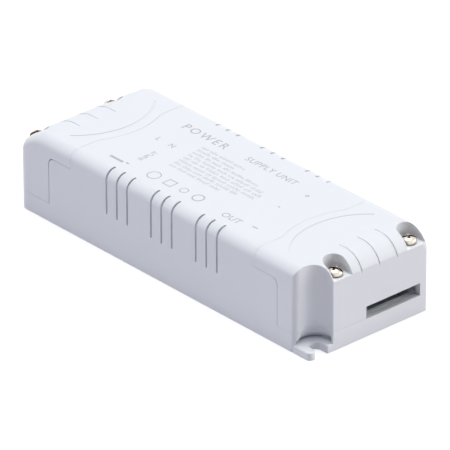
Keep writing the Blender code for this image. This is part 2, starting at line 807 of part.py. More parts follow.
def screw_profile(head_radius, head_height, shank_radius, length, top):
    """A low domed head over a shank with a pointed tip, from the top down."""
    base = top - head_height
    tip = base - length
    dome_height = head_height * SCREW_DOME_SHARE
    steps = 3
    profile = [(0, top)]
    for step in range(1, steps + 1):
        angle = pi / 2 * step / steps
        profile.append((head_radius * sin(angle), top - dome_height * (1 - cos(angle))))
    return profile + [
        (head_radius, base),
        (shank_radius, base),
        (shank_radius, tip + shank_radius),
        (0, tip),
    ]


def make_cover_screws(material):
    """Pan heads with a combined slot and cross."""
    top = pocket_floor + FIT + SCREW_HEAD_HEIGHT
    profile = screw_profile(SCREW_HEAD_RADIUS, SCREW_HEAD_HEIGHT, SCREW_SHANK_RADIUS, SCREW_LENGTH, top)
    recesses = ((SCREW_SLOT_LENGTH, SCREW_SLOT_WIDTH), (SCREW_SLOT_WIDTH, SCREW_CROSS_LENGTH))
    number = 0
    for turn in (Matrix.Identity(4), HALF_TURN):
        for place in pocket_places():
            number += 1
            screw = turned("screw", (*place, 0), profile)
            for size in recesses:
                depth = SCREW_SLOT_DEPTH + FIT
                screw = cut(screw, seated_box("recess", place, (*size, depth), base=top - SCREW_SLOT_DEPTH))
            screw.data.transform(turn)
            finish(screw, f"cover_screw_{number}", material, smooth_angle=0.6)


def make_base_plate(material):
    """The plate that closes the housing from below, with the standoffs of the board."""
    plate = prism("base", [plan_outline(sleeve_inset)], 0, BASE_THICKNESS)
    standoff_top = BASE_THICKNESS + STANDOFF_HEIGHT
    for x in (-standoff_x, standoff_x):
        for y in (-standoff_y, standoff_y):
            place = (x, y, 0)
            standoff = rod("standoff", place, STANDOFF_RADIUS, BASE_THICKNESS / 2, standoff_top, steps=16)
            plate = join(plate, standoff)
    rib_x = standoff_x - STANDOFF_RADIUS / 2
    rib_top = BASE_THICKNESS + BASE_RIB_HEIGHT
    half = BASE_RIB_THICKNESS / 2
    for y in (-standoff_y, 0, standoff_y):
        plate = join(plate, box("rib", (-rib_x, y - half, BASE_THICKNESS / 2), (rib_x, y + half, rib_top)))
    finish(plate, "base_plate", material)


# Layout of the board: two rows of parts, each filled from the mains end

def mount(item, name, material, smooth_angle=None):
    """Finish a part of the board, scaled from the seat so that the rows fit the room."""
    fit = Matrix.Translation((0, 0, seat)) @ Matrix.Scale(part_scale, 4) @ Matrix.Translation((0, 0, -seat))
    item.data.transform(fit)
    finish(item, name, material, smooth_angle)


def board_layout():
    """Centres of the parts on the board, before they are scaled to the room."""
    room_end = row_length / 2
    edge = row_width / 2
    choke_end = CHOKE_WIDTH / 2 + CHOKE_WINDING_THICKNESS + FIT
    fuse_x = FUSE_RADIUS - room_end
    choke_x = fuse_x + FUSE_RADIUS + PART_GAP + choke_end
    x_capacitor_x = X_CAPACITOR_LENGTH / 2 - room_end
    bulk_x = x_capacitor_x + X_CAPACITOR_LENGTH / 2 + PART_GAP + BULK_RADIUS
    core_x = max(choke_x + choke_end, bulk_x + BULK_RADIUS) + PART_GAP + CORE_WIDTH / 2
    power_x = bulk_x + BULK_RADIUS + 2 * PART_GAP + HEATSINK_WIDTH / 2
    opto_x = power_x + HEATSINK_WIDTH / 2 + 2 * PART_GAP + OPTO_LENGTH / 2
    output_x = room_end - max(OUTPUT_CAPACITOR_RADIUS, INDUCTOR_RADIUS)
    choke_y = CHOKE_LENGTH / 2 + PART_GAP - edge
    bridge_y = choke_y + CHOKE_LENGTH / 2 + PART_GAP + BRIDGE_WIDTH / 2
    core_y = core_half_length + 2 * PART_GAP - edge
    bulk_y = edge - BULK_RADIUS
    x_capacitor_y = edge - X_CAPACITOR_WIDTH / 2
    power_y = core_y + core_half_length + 2 * PART_GAP + POWER_BODY_THICKNESS / 2
    chip_x = (choke_x + choke_end + core_x - CORE_WIDTH / 2 + core_leg) / 2
    return {
        "fuse": (fuse_x, FUSE_RADIUS - edge),
        "varistor": (fuse_x, 2 * FUSE_RADIUS - edge + PART_GAP + VARISTOR_RADIUS),
        "choke": (choke_x, choke_y),
        "x_capacitor": (x_capacitor_x, x_capacitor_y),
        "bridge": (bulk_x - BULK_RADIUS - BRIDGE_LENGTH / 2, bridge_y),
        "bulk": (bulk_x, bulk_y),
        "core": (core_x, core_y),
        "power": (power_x, power_y),
        "opto": (opto_x, edge - OPTO_WIDTH / 2 - PART_GAP),
        "chip": (chip_x, core_y),
        "resistor": (chip_x, RESISTOR_RADIUS - edge),
        "diode": (core_x + PART_GAP, DIODE_RADIUS - edge),
        "y_capacitor": (output_x, Y_CAPACITOR_THICKNESS / 2 + 3 * PART_GAP - edge),
        "inductor": (output_x, Y_CAPACITOR_THICKNESS + 4 * PART_GAP + INDUCTOR_RADIUS - edge),
        "output_capacitor": (output_x, edge - OUTPUT_CAPACITOR_RADIUS),
    }


# Board and terminals

def make_board(place, material):
    """The board, with the routed slot between mains and output under the optocoupler."""
    board = box("board", (-board_half, -board_side, board_bottom), (board_half, board_side, board_top))
    x = place[0] * part_scale
    y = place[1] * part_scale
    half_x = ISOLATION_SLOT_WIDTH / 2
    half_y = (OPTO_WIDTH / 2 + PART_GAP) * part_scale
    slot = box("slot", (x - half_x, y - half_y, 0), (x + half_x, y + half_y, seat))
    finish(cut(board, slot), "circuit_board", material)


def make_terminal(name, side, materials):
    """A terminal block with one metal cage and clamp screw for each pole."""
    x = side * (board_half - TERMINAL_END_INSET - TERMINAL_DEPTH / 2)
    width = POLE_COUNT * POLE_PITCH + CLAMP_FLOOR
    middle = side * (slot_near_y + width / 2)
    block = seated_box("block", (x, middle), (TERMINAL_DEPTH, width, TERMINAL_HEIGHT))
    cage_base = seat + CLAMP_FLOOR + FIT
    head_base = cage_base + CLAMP_HEIGHT + FIT
    for pole in range(POLE_COUNT):
        place = (x, middle + (pole - (POLE_COUNT - 1) / 2) * POLE_PITCH)
        half = CLAMP_WIDTH / 2 + FIT
        inner_x = x - side * (CLAMP_LENGTH / 2 + FIT)
        outer_x = x + side * TERMINAL_DEPTH
        low = (min(inner_x, outer_x), place[1] - half, cage_base - FIT)
        high = (max(inner_x, outer_x), place[1] + half, head_base)
        well = rod("well", (*place, 0), CLAMP_HEAD_RADIUS + FIT, cage_base, FAR_ABOVE, steps=16)
        block = cut(block, box("bore", low, high), well)
        make_clamp(f"{name}_clamp_{pole + 1}", place, cage_base, materials["nickel"])
        make_clamp_screw(f"{name}_clamp_screw_{pole + 1}", place, head_base, materials["nickel"])
    finish(block, f"{name}_terminal", materials["green"])


def make_clamp(name, place, base, material):
    """A square metal cage, open along X, with a hole for its screw in the top."""
    cage = seated_box(name, place, (CLAMP_LENGTH, CLAMP_WIDTH, CLAMP_HEIGHT), base=base)
    inside = (CLAMP_LENGTH * 2, CLAMP_WIDTH - 2 * CLAMP_WALL, CLAMP_HEIGHT - 2 * CLAMP_WALL)
    hole = rod("hole", (*place, 0), CLAMP_SCREW_RADIUS + FIT, base + CLAMP_HEIGHT / 2, FAR_ABOVE, steps=16)
    cage = cut(cage, seated_box("inside", place, inside, base=base + CLAMP_WALL), hole)
    finish(cage, name, material)


def make_clamp_screw(name, place, base, material):
    """A cheese-head screw that stands on the cage, with a driver slot."""
    top = base + CLAMP_HEAD_HEIGHT
    tip = base - CLAMP_SCREW_LENGTH
    profile = [
        (0, top),
        (CLAMP_HEAD_RADIUS, top),
        (CLAMP_HEAD_RADIUS, base),
        (CLAMP_SCREW_RADIUS, base),
        (CLAMP_SCREW_RADIUS, tip),
        (0, tip),
    ]
    screw = turned("screw", (*place, 0), profile, steps=16)
    size = (CLAMP_HEAD_RADIUS * 3, SCREW_SLOT_WIDTH, SCREW_SLOT_DEPTH + FIT)
    recess = seated_box("recess", place, size, base=top - SCREW_SLOT_DEPTH)
    finish(cut(screw, recess), name, material)


# Transformer and choke

def make_transformer(place, materials):
    middle = seat + CORE_THICKNESS / 2 + FIT + bobbin_wall + BOBBIN_FLANGE
    centre = (*place, middle)
    for number, side in enumerate((-1, 1), 1):
        core = core_half(side)
        core.data.transform(Matrix.Translation(centre))
        mount(core, f"transformer_core_{number}", materials["ferrite"])
    make_bobbin(centre, materials["brown"])
    make_winding(centre, materials["tape"])


def core_half(side):
    """One E-shaped half of the core, with its legs towards the middle."""
    half = CORE_WIDTH / 2
    leg = core_centre_leg / 2
    inner = half - core_leg
    end = side * core_half_length
    back = side * (core_half_length - core_leg)
    face = side * FIT / 2
    outline = [
        (-half, end), (half, end), (half, face), (inner, face), (inner, back), (leg, back),
        (leg, face), (-leg, face), (-leg, back), (-inner, back), (-inner, face), (-half, face),
    ]
    return prism("core", [outline], -CORE_THICKNESS / 2, CORE_THICKNESS / 2)


def sleeve(name, centre, inner, outer, length):
    """A square tube along Y round a core leg: half sizes (x, z) inside and outside."""
    x, y, z = centre
    half = length / 2
    shape = box(name, (x - outer[0], y - half, z - outer[1]), (x + outer[0], y + half, z + outer[1]))
    bore = box("bore", (x - inner[0], y - length, z - inner[1]), (x + inner[0], y + length, z + inner[1]))
    return cut(shape, bore)


def make_bobbin(centre, material):
    """The spool on the middle leg, with a flange at each end that stands on the board."""
    window = 2 * (core_half_length - core_leg - FIT)
    bore = (core_centre_leg / 2 + FIT, CORE_THICKNESS / 2 + FIT)
    tube = (bore[0] + bobbin_wall, bore[1] + bobbin_wall)
    flange = (CORE_WIDTH / 2 - core_leg - FIT, centre[2] - seat)
    shape = box(
        "tube",
        (centre[0] - tube[0], centre[1] - window / 2 + FIT, centre[2] - tube[1]),
        (centre[0] + tube[0], centre[1] + window / 2 - FIT, centre[2] + tube[1]),
    )
    for side in (-1, 1):
        y = centre[1] + side * (window - bobbin_wall) / 2
        low = (centre[0] - flange[0], y - bobbin_wall / 2, centre[2] - flange[1])
        high = (centre[0] + flange[0], y + bobbin_wall / 2, centre[2] + flange[1])
        shape = join(shape, box("flange", low, high))
    hole = box(
        "bore",
        (centre[0] - bore[0], centre[1] - window, centre[2] - bore[1]),
        (centre[0] + bore[0], centre[1] + window, centre[2] + bore[1]),
    )
    mount(cut(shape, hole), "transformer_bobbin", material)


def make_winding(centre, material):
    """The taped winding between the flanges."""
    length = 2 * (core_half_length - core_leg - FIT - bobbin_wall - FIT)
    gap = 2 * FIT + bobbin_wall
    inner = (core_centre_leg / 2 + gap, CORE_THICKNESS / 2 + gap)
    outer = (CORE_WIDTH / 2 - core_leg - FIT, inner[1] + WINDING_THICKNESS)
    mount(sleeve("winding", centre, inner, outer, length), "transformer_winding", material)


def make_choke(place, materials):
    """A closed ferrite frame with a winding on each long leg."""
    x, y = place
    half_x = CHOKE_WIDTH / 2
    half_y = CHOKE_LENGTH / 2
    half_leg = CHOKE_LEG / 2
    winding_half = half_leg + FIT + CHOKE_WINDING_THICKNESS
    middle = seat + winding_half
    low = (x - half_x, y - half_y, middle - half_leg)
    high = (x + half_x, y + half_y, middle + half_leg)
    frame = box("frame", low, high)
    inner_x = half_x - CHOKE_LEG
    inner_y = half_y - CHOKE_LEG
    frame = cut(frame, box("window", (x - inner_x, y - inner_y, 0), (x + inner_x, y + inner_y, FAR_ABOVE)))
    mount(frame, "choke_core", materials["ferrite"])
    inner = (half_leg + FIT, half_leg + FIT)
    outer = (winding_half, winding_half)
    for number, side in enumerate((-1, 1), 1):
        centre = (x + side * (half_x - half_leg), y, middle)
        coil = sleeve("coil", centre, inner, outer, 2 * (inner_y - FIT))
        mount(coil, f"choke_winding_{number}", materials["copper"])


# Other parts on the board

def make_capacitor(name, place, radius, height, material):
    """A sleeved electrolytic capacitor with its crimped groove."""
    top = seat + height
    groove = seat + height * CAN_GROOVE_SHARE
    lip = radius * CAN_LIP_SHARE
    rim = radius * (1 - CAN_RIM_SHARE)
    profile = [
        (0, top - lip),
        (rim - lip, top - lip),
        (rim, top),
        (radius - lip, top),
        (radius, top - lip),
        (radius, groove + 2 * lip),
        (radius - lip, groove),
        (radius, groove - 2 * lip),
        (radius, seat),
        (0, seat),
    ]
    mount(turned("can", (*place, 0), profile), name, material, smooth_angle=0.5)


def make_disc(name, place, radius, thickness, along, material):
    """A coated disc that stands on edge, with its flat faces along X or Y."""
    disc = rod("disc", (0, 0, 0), radius, -thickness / 2, thickness / 2, axis=along)
    disc.data.transform(Matrix.Translation((*place, seat + radius)))
    mount(disc, name, material, smooth_angle=0.6)


def make_power_part(name, place, material):
    """A flat power package on three legs, with its metal tab towards +Y."""
    x, y = place
    base = seat + POWER_LEG_LENGTH
    body = seated_box("body", place, (POWER_BODY_WIDTH, POWER_BODY_THICKNESS, POWER_BODY_HEIGHT), base=base)
    tab_y = y + (POWER_BODY_THICKNESS + POWER_TAB_THICKNESS) / 2 - FIT
    tab_size = (POWER_BODY_WIDTH - FIT, POWER_TAB_THICKNESS, POWER_TAB_HEIGHT)
    body = join(body, seated_box("tab", (x, tab_y), tab_size, base=base + FIT))
    for step in (-1, 0, 1):
        leg_size = (POWER_LEG_WIDTH, POWER_LEG_WIDTH / 2, POWER_LEG_LENGTH + FIT)
        body = join(body, seated_box("leg", (x + step * POWER_LEG_PITCH, y), leg_size))
    mount(body, name, material)


def make_heatsink(name, place, material):
    """A folded aluminium sheet that stands on the board behind the power part."""
    x = place[0]
    near = place[1] + POWER_BODY_THICKNESS / 2 + POWER_TAB_THICKNESS
    half = HEATSINK_WIDTH / 2
    top = seat + HEATSINK_HEIGHT
    inner = half - HEATSINK_THICKNESS
    far = near + HEATSINK_THICKNESS
    front = far - HEATSINK_WING
    outline = [
        (x - half, front), (x - inner, front), (x - inner, near), (x + inner, near),
        (x + inner, front), (x + half, front), (x + half, far), (x - half, far),
    ]
    mount(prism("sheet", [outline], seat, top), name, material)


def make_chip(name, place, material):
    """A small surface package with four legs on each side."""
    body = seated_box("chip", place, (CHIP_LENGTH, CHIP_WIDTH, CHIP_HEIGHT), base=seat + FIT)
    for side in (-1, 1):
        for index in range(4):
            x = place[0] + (index - 1.5) * CHIP_PIN_PITCH
            y = place[1] + side * (CHIP_WIDTH / 2 + CHIP_PIN_LENGTH / 2 - FIT)
            body = join(body, seated_box("pin", (x, y), (CHIP_PIN_WIDTH, CHIP_PIN_LENGTH, CHIP_HEIGHT / 2)))
    mount(body, name, material)


def make_axial_part(name, place, radius, length, material):
    """A round body that lies on the board along X, on its bent leads."""
    x, y = place
    middle = seat + radius + FIT
    body = rod("body", (0, 0, 0), radius, -length / 2, length / 2, steps=16, axis="X")
    body.data.transform(Matrix.Translation((x, y, middle)))
    reach = length / 2 + AXIAL_LEAD
    curve = bpy.data.curves.new("lead", "CURVE")
    curve.dimensions = "3D"
    curve.bevel_depth = LEAD_RADIUS
    curve.bevel_resolution = 1
    curve.use_fill_caps = True
    spline = curve.splines.new("POLY")
    spline.points.add(3)
    route = ((-reach, seat), (-reach, middle), (reach, middle), (reach, seat))
    for point, (offset, height) in zip(spline.points, route):
        point.co = (x + offset, y, height, 1)
    wire = baked(new_object("lead", curve, parts))
    tidy_mesh(wire)
    mount(join(body, wire), name, material)


def make_inductor(place, materials):
    """A drum core and its winding, upright on the board."""
    top = seat + INDUCTOR_HEIGHT
    profile = [
        (0, top),
        (INDUCTOR_RADIUS, top),
        (INDUCTOR_RADIUS, top - INDUCTOR_FLANGE),
        (INDUCTOR_WAIST, top - INDUCTOR_FLANGE),
        (INDUCTOR_WAIST, seat + INDUCTOR_FLANGE),
        (INDUCTOR_RADIUS, seat + INDUCTOR_FLANGE),
        (INDUCTOR_RADIUS, seat),
        (0, seat),
    ]
    mount(turned("drum", (*place, 0), profile), "inductor_core", materials["ferrite"], 0.6)
    low = seat + INDUCTOR_FLANGE + FIT
    high = top - INDUCTOR_FLANGE - FIT
    winding = rod("winding", (*place, 0), INDUCTOR_RADIUS - FIT, low, high)
    winding = cut(winding, rod("bore", (*place, 0), INDUCTOR_WAIST + FIT, 0, FAR_ABOVE))
    mount(winding, "inductor_winding", materials["copper"], 0.6)


def make_board_parts(layout, materials):
    fuse = rod("fuse", (*layout["fuse"], 0), FUSE_RADIUS, seat, seat + FUSE_HEIGHT)
    mount(fuse, "fuse", materials["brown"], 0.6)
    make_disc("varistor", layout["varistor"], VARISTOR_RADIUS, VARISTOR_THICKNESS, "X", materials["blue"])
    size = (X_CAPACITOR_LENGTH, X_CAPACITOR_WIDTH, X_CAPACITOR_HEIGHT)
    mount(seated_box("box", layout["x_capacitor"], size, FIT), "x_capacitor", materials["tape"])
    size = (BRIDGE_LENGTH, BRIDGE_WIDTH, BRIDGE_HEIGHT)
    mount(seated_box("box", layout["bridge"], size, FIT), "bridge_rectifier", materials["black"])
    make_capacitor("bulk_capacitor", layout["bulk"], BULK_RADIUS, BULK_HEIGHT, materials["sleeve"])
    make_power_part("switching_transistor", layout["power"], materials["black"])
    make_heatsink("primary_heatsink", layout["power"], materials["aluminium"])
    make_chip("controller_chip", layout["chip"], materials["black"])
    blue = materials["blue"]
    make_axial_part("snubber_resistor", layout["resistor"], RESISTOR_RADIUS, RESISTOR_LENGTH, blue)
    make_axial_part("output_diode", layout["diode"], DIODE_RADIUS, DIODE_LENGTH, materials["black"])
    size = (OPTO_LENGTH, OPTO_WIDTH, OPTO_HEIGHT)
    mount(seated_box("box", layout["opto"], size, FIT), "optocoupler", materials["black"])
    make_disc("y_capacitor", layout["y_capacitor"], Y_CAPACITOR_RADIUS, Y_CAPACITOR_THICKNESS, "Y", blue)
    make_inductor(layout["inductor"], materials)
    x, y = layout["output_capacitor"]
    for index in range(OUTPUT_CAPACITOR_COUNT):
        place = (x, y - index * (2 * OUTPUT_CAPACITOR_RADIUS + PART_GAP))
        name = f"output_capacitor_{index + 1}"
        make_capacitor(name, place, OUTPUT_CAPACITOR_RADIUS, OUTPUT_CAPACITOR_HEIGHT, materials["sleeve"])


def build():
    materials = make_materials()
    layout = board_layout()
    make_housing(materials["white"])
    make_covers(materials["white"])
    make_cover_screws(materials["nickel"])
    make_base_plate(materials["white"])
    make_board(layout["opto"], materials["board"])
    make_terminal("output", 1, materials)
    make_terminal("mains", -1, materials)
    make_transformer(layout["core"], materials)
    make_choke(layout["choke"], materials)
    make_board_parts(layout, materials)


clear_scene()
parts = new_collection("led_driver")
build()
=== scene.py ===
"""Looks of an LED driver: moulded case and end covers, screws, print, inner parts and studio."""

import json
from math import cos, pi, radians, sin, sqrt
from random import Random

import bmesh
import bpy
from bpy.props import FloatProperty, FloatVectorProperty, IntProperty, PointerProperty
from mathutils import Matrix, Vector


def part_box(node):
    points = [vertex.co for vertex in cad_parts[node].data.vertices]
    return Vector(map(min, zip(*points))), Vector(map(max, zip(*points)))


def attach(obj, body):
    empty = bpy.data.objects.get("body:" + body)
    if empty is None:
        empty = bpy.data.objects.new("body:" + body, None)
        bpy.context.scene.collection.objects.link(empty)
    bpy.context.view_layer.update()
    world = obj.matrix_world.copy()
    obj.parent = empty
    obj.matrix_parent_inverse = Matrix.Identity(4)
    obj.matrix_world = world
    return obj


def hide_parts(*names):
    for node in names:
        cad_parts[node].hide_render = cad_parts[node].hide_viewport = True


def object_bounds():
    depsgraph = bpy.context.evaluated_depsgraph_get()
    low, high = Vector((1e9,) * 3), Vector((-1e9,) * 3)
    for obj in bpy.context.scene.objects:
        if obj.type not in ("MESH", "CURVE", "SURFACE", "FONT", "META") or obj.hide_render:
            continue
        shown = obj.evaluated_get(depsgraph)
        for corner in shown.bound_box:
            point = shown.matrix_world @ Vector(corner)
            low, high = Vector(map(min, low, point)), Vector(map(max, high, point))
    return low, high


bl_info = {
    "name": "LED driver looks",
    "version": (1, 0, 0),
    "blender": (4, 5, 0),
    "location": "3D View > Sidebar > LED driver",
    "description": "Moulded case, end covers, screws, print and studio of an LED driver",
    "category": "Object",
}

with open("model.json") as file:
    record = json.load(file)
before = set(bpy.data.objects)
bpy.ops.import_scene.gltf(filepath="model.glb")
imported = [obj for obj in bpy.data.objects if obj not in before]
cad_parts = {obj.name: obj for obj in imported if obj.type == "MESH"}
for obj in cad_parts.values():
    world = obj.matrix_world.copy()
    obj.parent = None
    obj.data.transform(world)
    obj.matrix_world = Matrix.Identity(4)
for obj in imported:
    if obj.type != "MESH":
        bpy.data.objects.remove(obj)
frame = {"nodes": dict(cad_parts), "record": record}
frame_low, frame_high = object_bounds()
seam_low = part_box("output_cover")[0].z
screw_boxes = [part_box(f"cover_screw_{number}") for number in (1, 2)]
screw_places = [((low.x + high.x) / 2, (low.y + high.y) / 2) for low, high in screw_boxes]
screw_top = screw_boxes[0][1].z
screw_tip = screw_boxes[0][0].z
base_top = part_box("base_plate")[1].z

half_x = frame_high.x
half_y = frame_high.y
top_z = frame_high.z
far = 2 * half_x
HALF_TURN = Matrix.Rotation(pi, 4, "Z")
ON_SIDE = Matrix.Rotation(pi / 2, 4, "X")
SKIN = 0.00002      # how far a cutting face stands off a face that it must not share
INK = 0.000012      # half the thickness of the print


# Sizes and colours that a user may change

def length(name, description, default):
    """A length in metres."""
    return FloatProperty(name=name, description=description, default=default, unit="LENGTH")


class CaseSizes(bpy.types.PropertyGroup):
    """Sizes of the moulded case."""
    wall: length("Wall", "Thickness of the case wall", 0.0018)
    top_edge: length("Top edge", "Radius along the two long top edges", 0.0029)
    shoulder: length("Shoulder", "Radius of the arc over each end", 0.0067)
    shoulder_reach: length("Shoulder reach", "Length over which the top falls away", 0.0062)
    mains_shoulder: length("Mains shoulder", "Radius of the longer arc over the mains end", 0.0110)
    mains_shoulder_reach: length(
        "Mains shoulder reach", "Length over which the top falls at the mains end", 0.0098)
    mains_corner: length("Mains corner", "Radius of the upright corner at the mains end", 0.0030)
    output_corner: length("Output corner", "Radius of the upright corner at the output end", 0.0012)
    notch_depth: length("Notch depth", "Depth of the fixing notch along the case", 0.0055)
    notch_width: length("Notch width", "Width of the fixing notch across the case", 0.0080)
    notch_radius: length("Notch radius", "Radius of the round wall of the notch", 0.0045)
    notch_lip: length("Notch lip", "Radius where the notch meets the long side", 0.0017)
    notch_edge: length("Notch edge", "Radius where the notch meets the end", 0.0003)
    ear: length("Ear", "Thickness of the fixing ear", 0.00215)
    ear_slot: length("Ear slot", "Width of the open slot in the ear", 0.0036)
    ear_slot_depth: length("Ear slot depth", "Depth of the slot from the end", 0.0042)
    ear_slot_inset: length("Ear slot inset", "Middle of the slot from the long side", 0.0044)
    ear_tip: length("Ear tip", "Radius of the finger of the ear", 0.00125)
    washer: length("Washer", "Radius of the room for the washer in the foot of the notch", 0.0047)
    collar_gap: length("Collar gap", "Gap between a cover and the collar inside it", 0.0003)
    collar_wall: length("Collar wall", "Thickness of the collar", 0.0012)
    collar_drop: length("Collar drop", "Top of the collar below the top of the case", 0.0064)


class CoverSizes(bpy.types.PropertyGroup):
    """Outline of the end covers, their pockets and grooves."""
    low_reach: length("Low reach", "Length of the cover low on the sides", 0.0121)
    high_reach: length("High reach", "Length of the cover at the top of the sides", 0.0209)
    high_drop: length("High drop", "Height of the longer part of the cover", 0.0050)
    corner: length("Corner", "Radius in the side outline of the cover", 0.0020)
    arc: length("Arc", "Radius of the arc across the top", 0.0240)
    arc_rise: length("Arc rise", "How far the arc bulges to the middle", 0.0026)
    output_seam: length("Output seam", "Open seam round the output cover", 0.00012)
    mains_seam: length("Mains seam", "Open seam round the mains cover", 0.00020)
    pocket: length("Pocket", "Radius of the scoop over a screw", 0.00315)
    pocket_drop: length("Pocket drop", "Floor of the scoop below the top", 0.0043)
    flute_pitch: length("Flute pitch", "Distance between the grooves over the end", 0.0061)
    flute_middle: length("Flute middle", "Place of the middle groove", 0.0032)
    flute_width: length("Flute width", "Width of a groove at the end", 0.0008)
    flute_depth: length("Flute depth", "Depth of a groove at the end", 0.00032)
    flute_lead: length("Flute lead", "Length of the groove on the flat top", 0.0020)
    ring_inset: length("Ring inset", "Shallow arc groove inside the seam", 0.0030)
    ring_reach: length("Ring reach", "Half length of the shallow arc groove", 0.0146)
    slot_inset: length("Slot inset", "Cable slot from the long side", 0.00287)
    slot_length: length("Slot length", "Length of the cable slot", 0.01865)
    slot_height: length("Slot height", "Height of the cable slot", 0.0033)


class VentSizes(bpy.types.PropertyGroup):
    """Slits along the long sides."""
    groups: IntProperty(name="Groups", description="Groups of slits on a side", default=3)
    per_group: IntProperty(name="Slits", description="Slits in a group", default=3)
    group_pitch: length("Group pitch", "Distance between groups", 0.01735)
    pitch: length("Pitch", "Distance between slits", 0.00403)
    width: length("Width", "Width of a slit", 0.00062)
    reach: length("Reach", "Length of a slit on the top", 0.0032)
    drop: length("Drop", "Lower end of a slit below the top", 0.0136)
    fade: length("Fade", "Height over which the foot of a slit runs out", 0.0016)


class ScrewSizes(bpy.types.PropertyGroup):
    """Cover screws."""
    head: length("Head", "Radius of the head", 0.00215)
    head_height: length("Head height", "Height of the head", 0.0017)
    shank: length("Shank", "Radius of the shank", 0.0011)
    slot: length("Slot", "Width of the driver slot", 0.0008)
    cross: length("Cross", "Span of the cross recess", 0.0034)
    depth: length("Depth", "Depth of the driver slot", 0.0009)


class FinishColours(bpy.types.PropertyGroup):
    """Colours of the visible finishes."""
    moulding: FloatVectorProperty(
        name="Moulding", description="Cool white of the case", subtype="COLOR", size=3,
        default=(0.80, 0.825, 0.87))
    ink: FloatVectorProperty(
        name="Ink", description="Grey of the print", subtype="COLOR", size=3,
        default=(0.46, 0.46, 0.50))
    nickel: FloatVectorProperty(
        name="Nickel", description="Bright screws", subtype="COLOR", size=3,
        default=(0.82, 0.71, 0.61))


class StudioSettings(bpy.types.PropertyGroup):
    """Camera and soft light."""
    azimuth: FloatProperty(
        name="Azimuth", description="Camera round the object", default=radians(48.325),
        subtype="ANGLE")
    elevation: FloatProperty(
        name="Elevation", description="Camera above the floor", default=radians(28.319),
        subtype="ANGLE")
    roll: FloatProperty(
        name="Roll", description="Camera about its own line of sight", default=radians(-0.197),
        subtype="ANGLE")
    distance: length("Distance", "Camera from the middle of the case", 2.0645)
    aside: length("Aside", "Camera moved to its right", 0.001040)
    above: FloatProperty(
        name="Above", description="Camera moved up in its own view", default=-0.00243, unit="LENGTH")
    lens: FloatProperty(
        name="Lens", description="Focal length on a 36 mm sensor, in millimetres", default=640.0)
    sky: FloatVectorProperty(
        name="Sky", description="Light from all round", subtype="COLOR", size=3,
        default=(0.100, 0.103, 0.110))
    key: FloatProperty(name="Key", description="Soft light from above", default=2.38)
    end: FloatProperty(name="End", description="Soft light across the output end", default=2.36)
    rake: FloatProperty(name="Rake", description="Light raking the long side", default=1.08)


# Shapes

def new_shape():
    """An empty shape."""
    return bmesh.new()


def outline(shape, corners, steps=12):
    """A flat face through corners (x, y, radius); a vertex bevel rounds each corner."""
    points = [shape.verts.new((x, y, 0)) for x, y, radius in corners]
    shape.faces.new(points)
    for point, (x, y, radius) in zip(points, corners):
        if radius > 0:
            bmesh.ops.bevel(
                shape, geom=[point], offset=radius, segments=steps, profile=0.5,
                affect="VERTICES", material=-1)


def points_of(items):
    """The vertices among what an extrusion made."""
    return [item for item in items if isinstance(item, bmesh.types.BMVert)]


def raised(corners, low, high, steps=12):
    """An upright prism over an outline."""
    shape = new_shape()
    outline(shape, corners, steps)
    bmesh.ops.translate(shape, verts=shape.verts, vec=(0, 0, low))
    grown = bmesh.ops.extrude_face_region(shape, geom=shape.faces[:])
    bmesh.ops.translate(shape, verts=points_of(grown["geom"]), vec=(0, 0, high - low))
    bmesh.ops.recalc_face_normals(shape, faces=shape.faces)
    return shape


def lying(corners, near, distant, steps=12):
    """A prism over an outline in X and Z, from one Y to another."""
    shape = raised(corners, -distant, -near, steps)
    shape.transform(ON_SIDE)
    bmesh.ops.recalc_face_normals(shape, faces=shape.faces)
    return shape


def block(low, high):
    """An upright box between two corners."""
    shape = new_shape()
    low = Vector(low)
    high = Vector(high)
    bmesh.ops.create_cube(shape, size=1)
    bmesh.ops.scale(shape, vec=high - low, verts=shape.verts)
    bmesh.ops.translate(shape, vec=(low + high) / 2, verts=shape.verts)
    return shape


def disc(place, radius, low, high, steps=96):
    """An upright round block."""
    shape = new_shape()
    bmesh.ops.create_cone(
        shape, cap_ends=True, segments=steps, radius1=radius, radius2=radius, depth=high - low)
    bmesh.ops.translate(shape, vec=(place[0], place[1], (low + high) / 2), verts=shape.verts)
    return shape


def spun(profile, steps=48):
    """A turned shape about Z from (radius, height) points, from axis to axis."""
    shape = new_shape()
    points = [shape.verts.new((radius, 0, height)) for radius, height in profile]
    edges = [shape.edges.new(pair) for pair in zip(points, points[1:])]
    bmesh.ops.spin(
        shape, geom=points + edges, cent=(0, 0, 0), axis=(0, 0, 1), angle=2 * pi, steps=steps,
        use_merge=True)
    bmesh.ops.remove_doubles(shape, verts=shape.verts, dist=0.000001)
    bmesh.ops.recalc_face_normals(shape, faces=shape.faces)
    return shape


def gathered(shapes):
    """Several separate shapes in one."""
    whole = new_shape()
    for shape in shapes:
        mesh = bpy.data.meshes.new("part")
        shape.to_mesh(mesh)
        shape.free()
        whole.from_mesh(mesh)
        bpy.data.meshes.remove(mesh)
    return whole


def turned(shape):
    """A shape moved from the output end to the mains end by half a turn."""
    shape.transform(HALF_TURN)
    return shape


def both_ends(shape):
    """A shape at the output end and its half turn at the mains end."""
    return gathered([shape, turned(shape.copy())])


def new_piece(name, shape):
    """An object of a shape, linked to the scene."""
    mesh = bpy.data.meshes.new(name)
    shape.to_mesh(mesh)
    shape.free()
    piece = bpy.data.objects.new(name, mesh)
    bpy.context.scene.collection.objects.link(piece)
    return piece


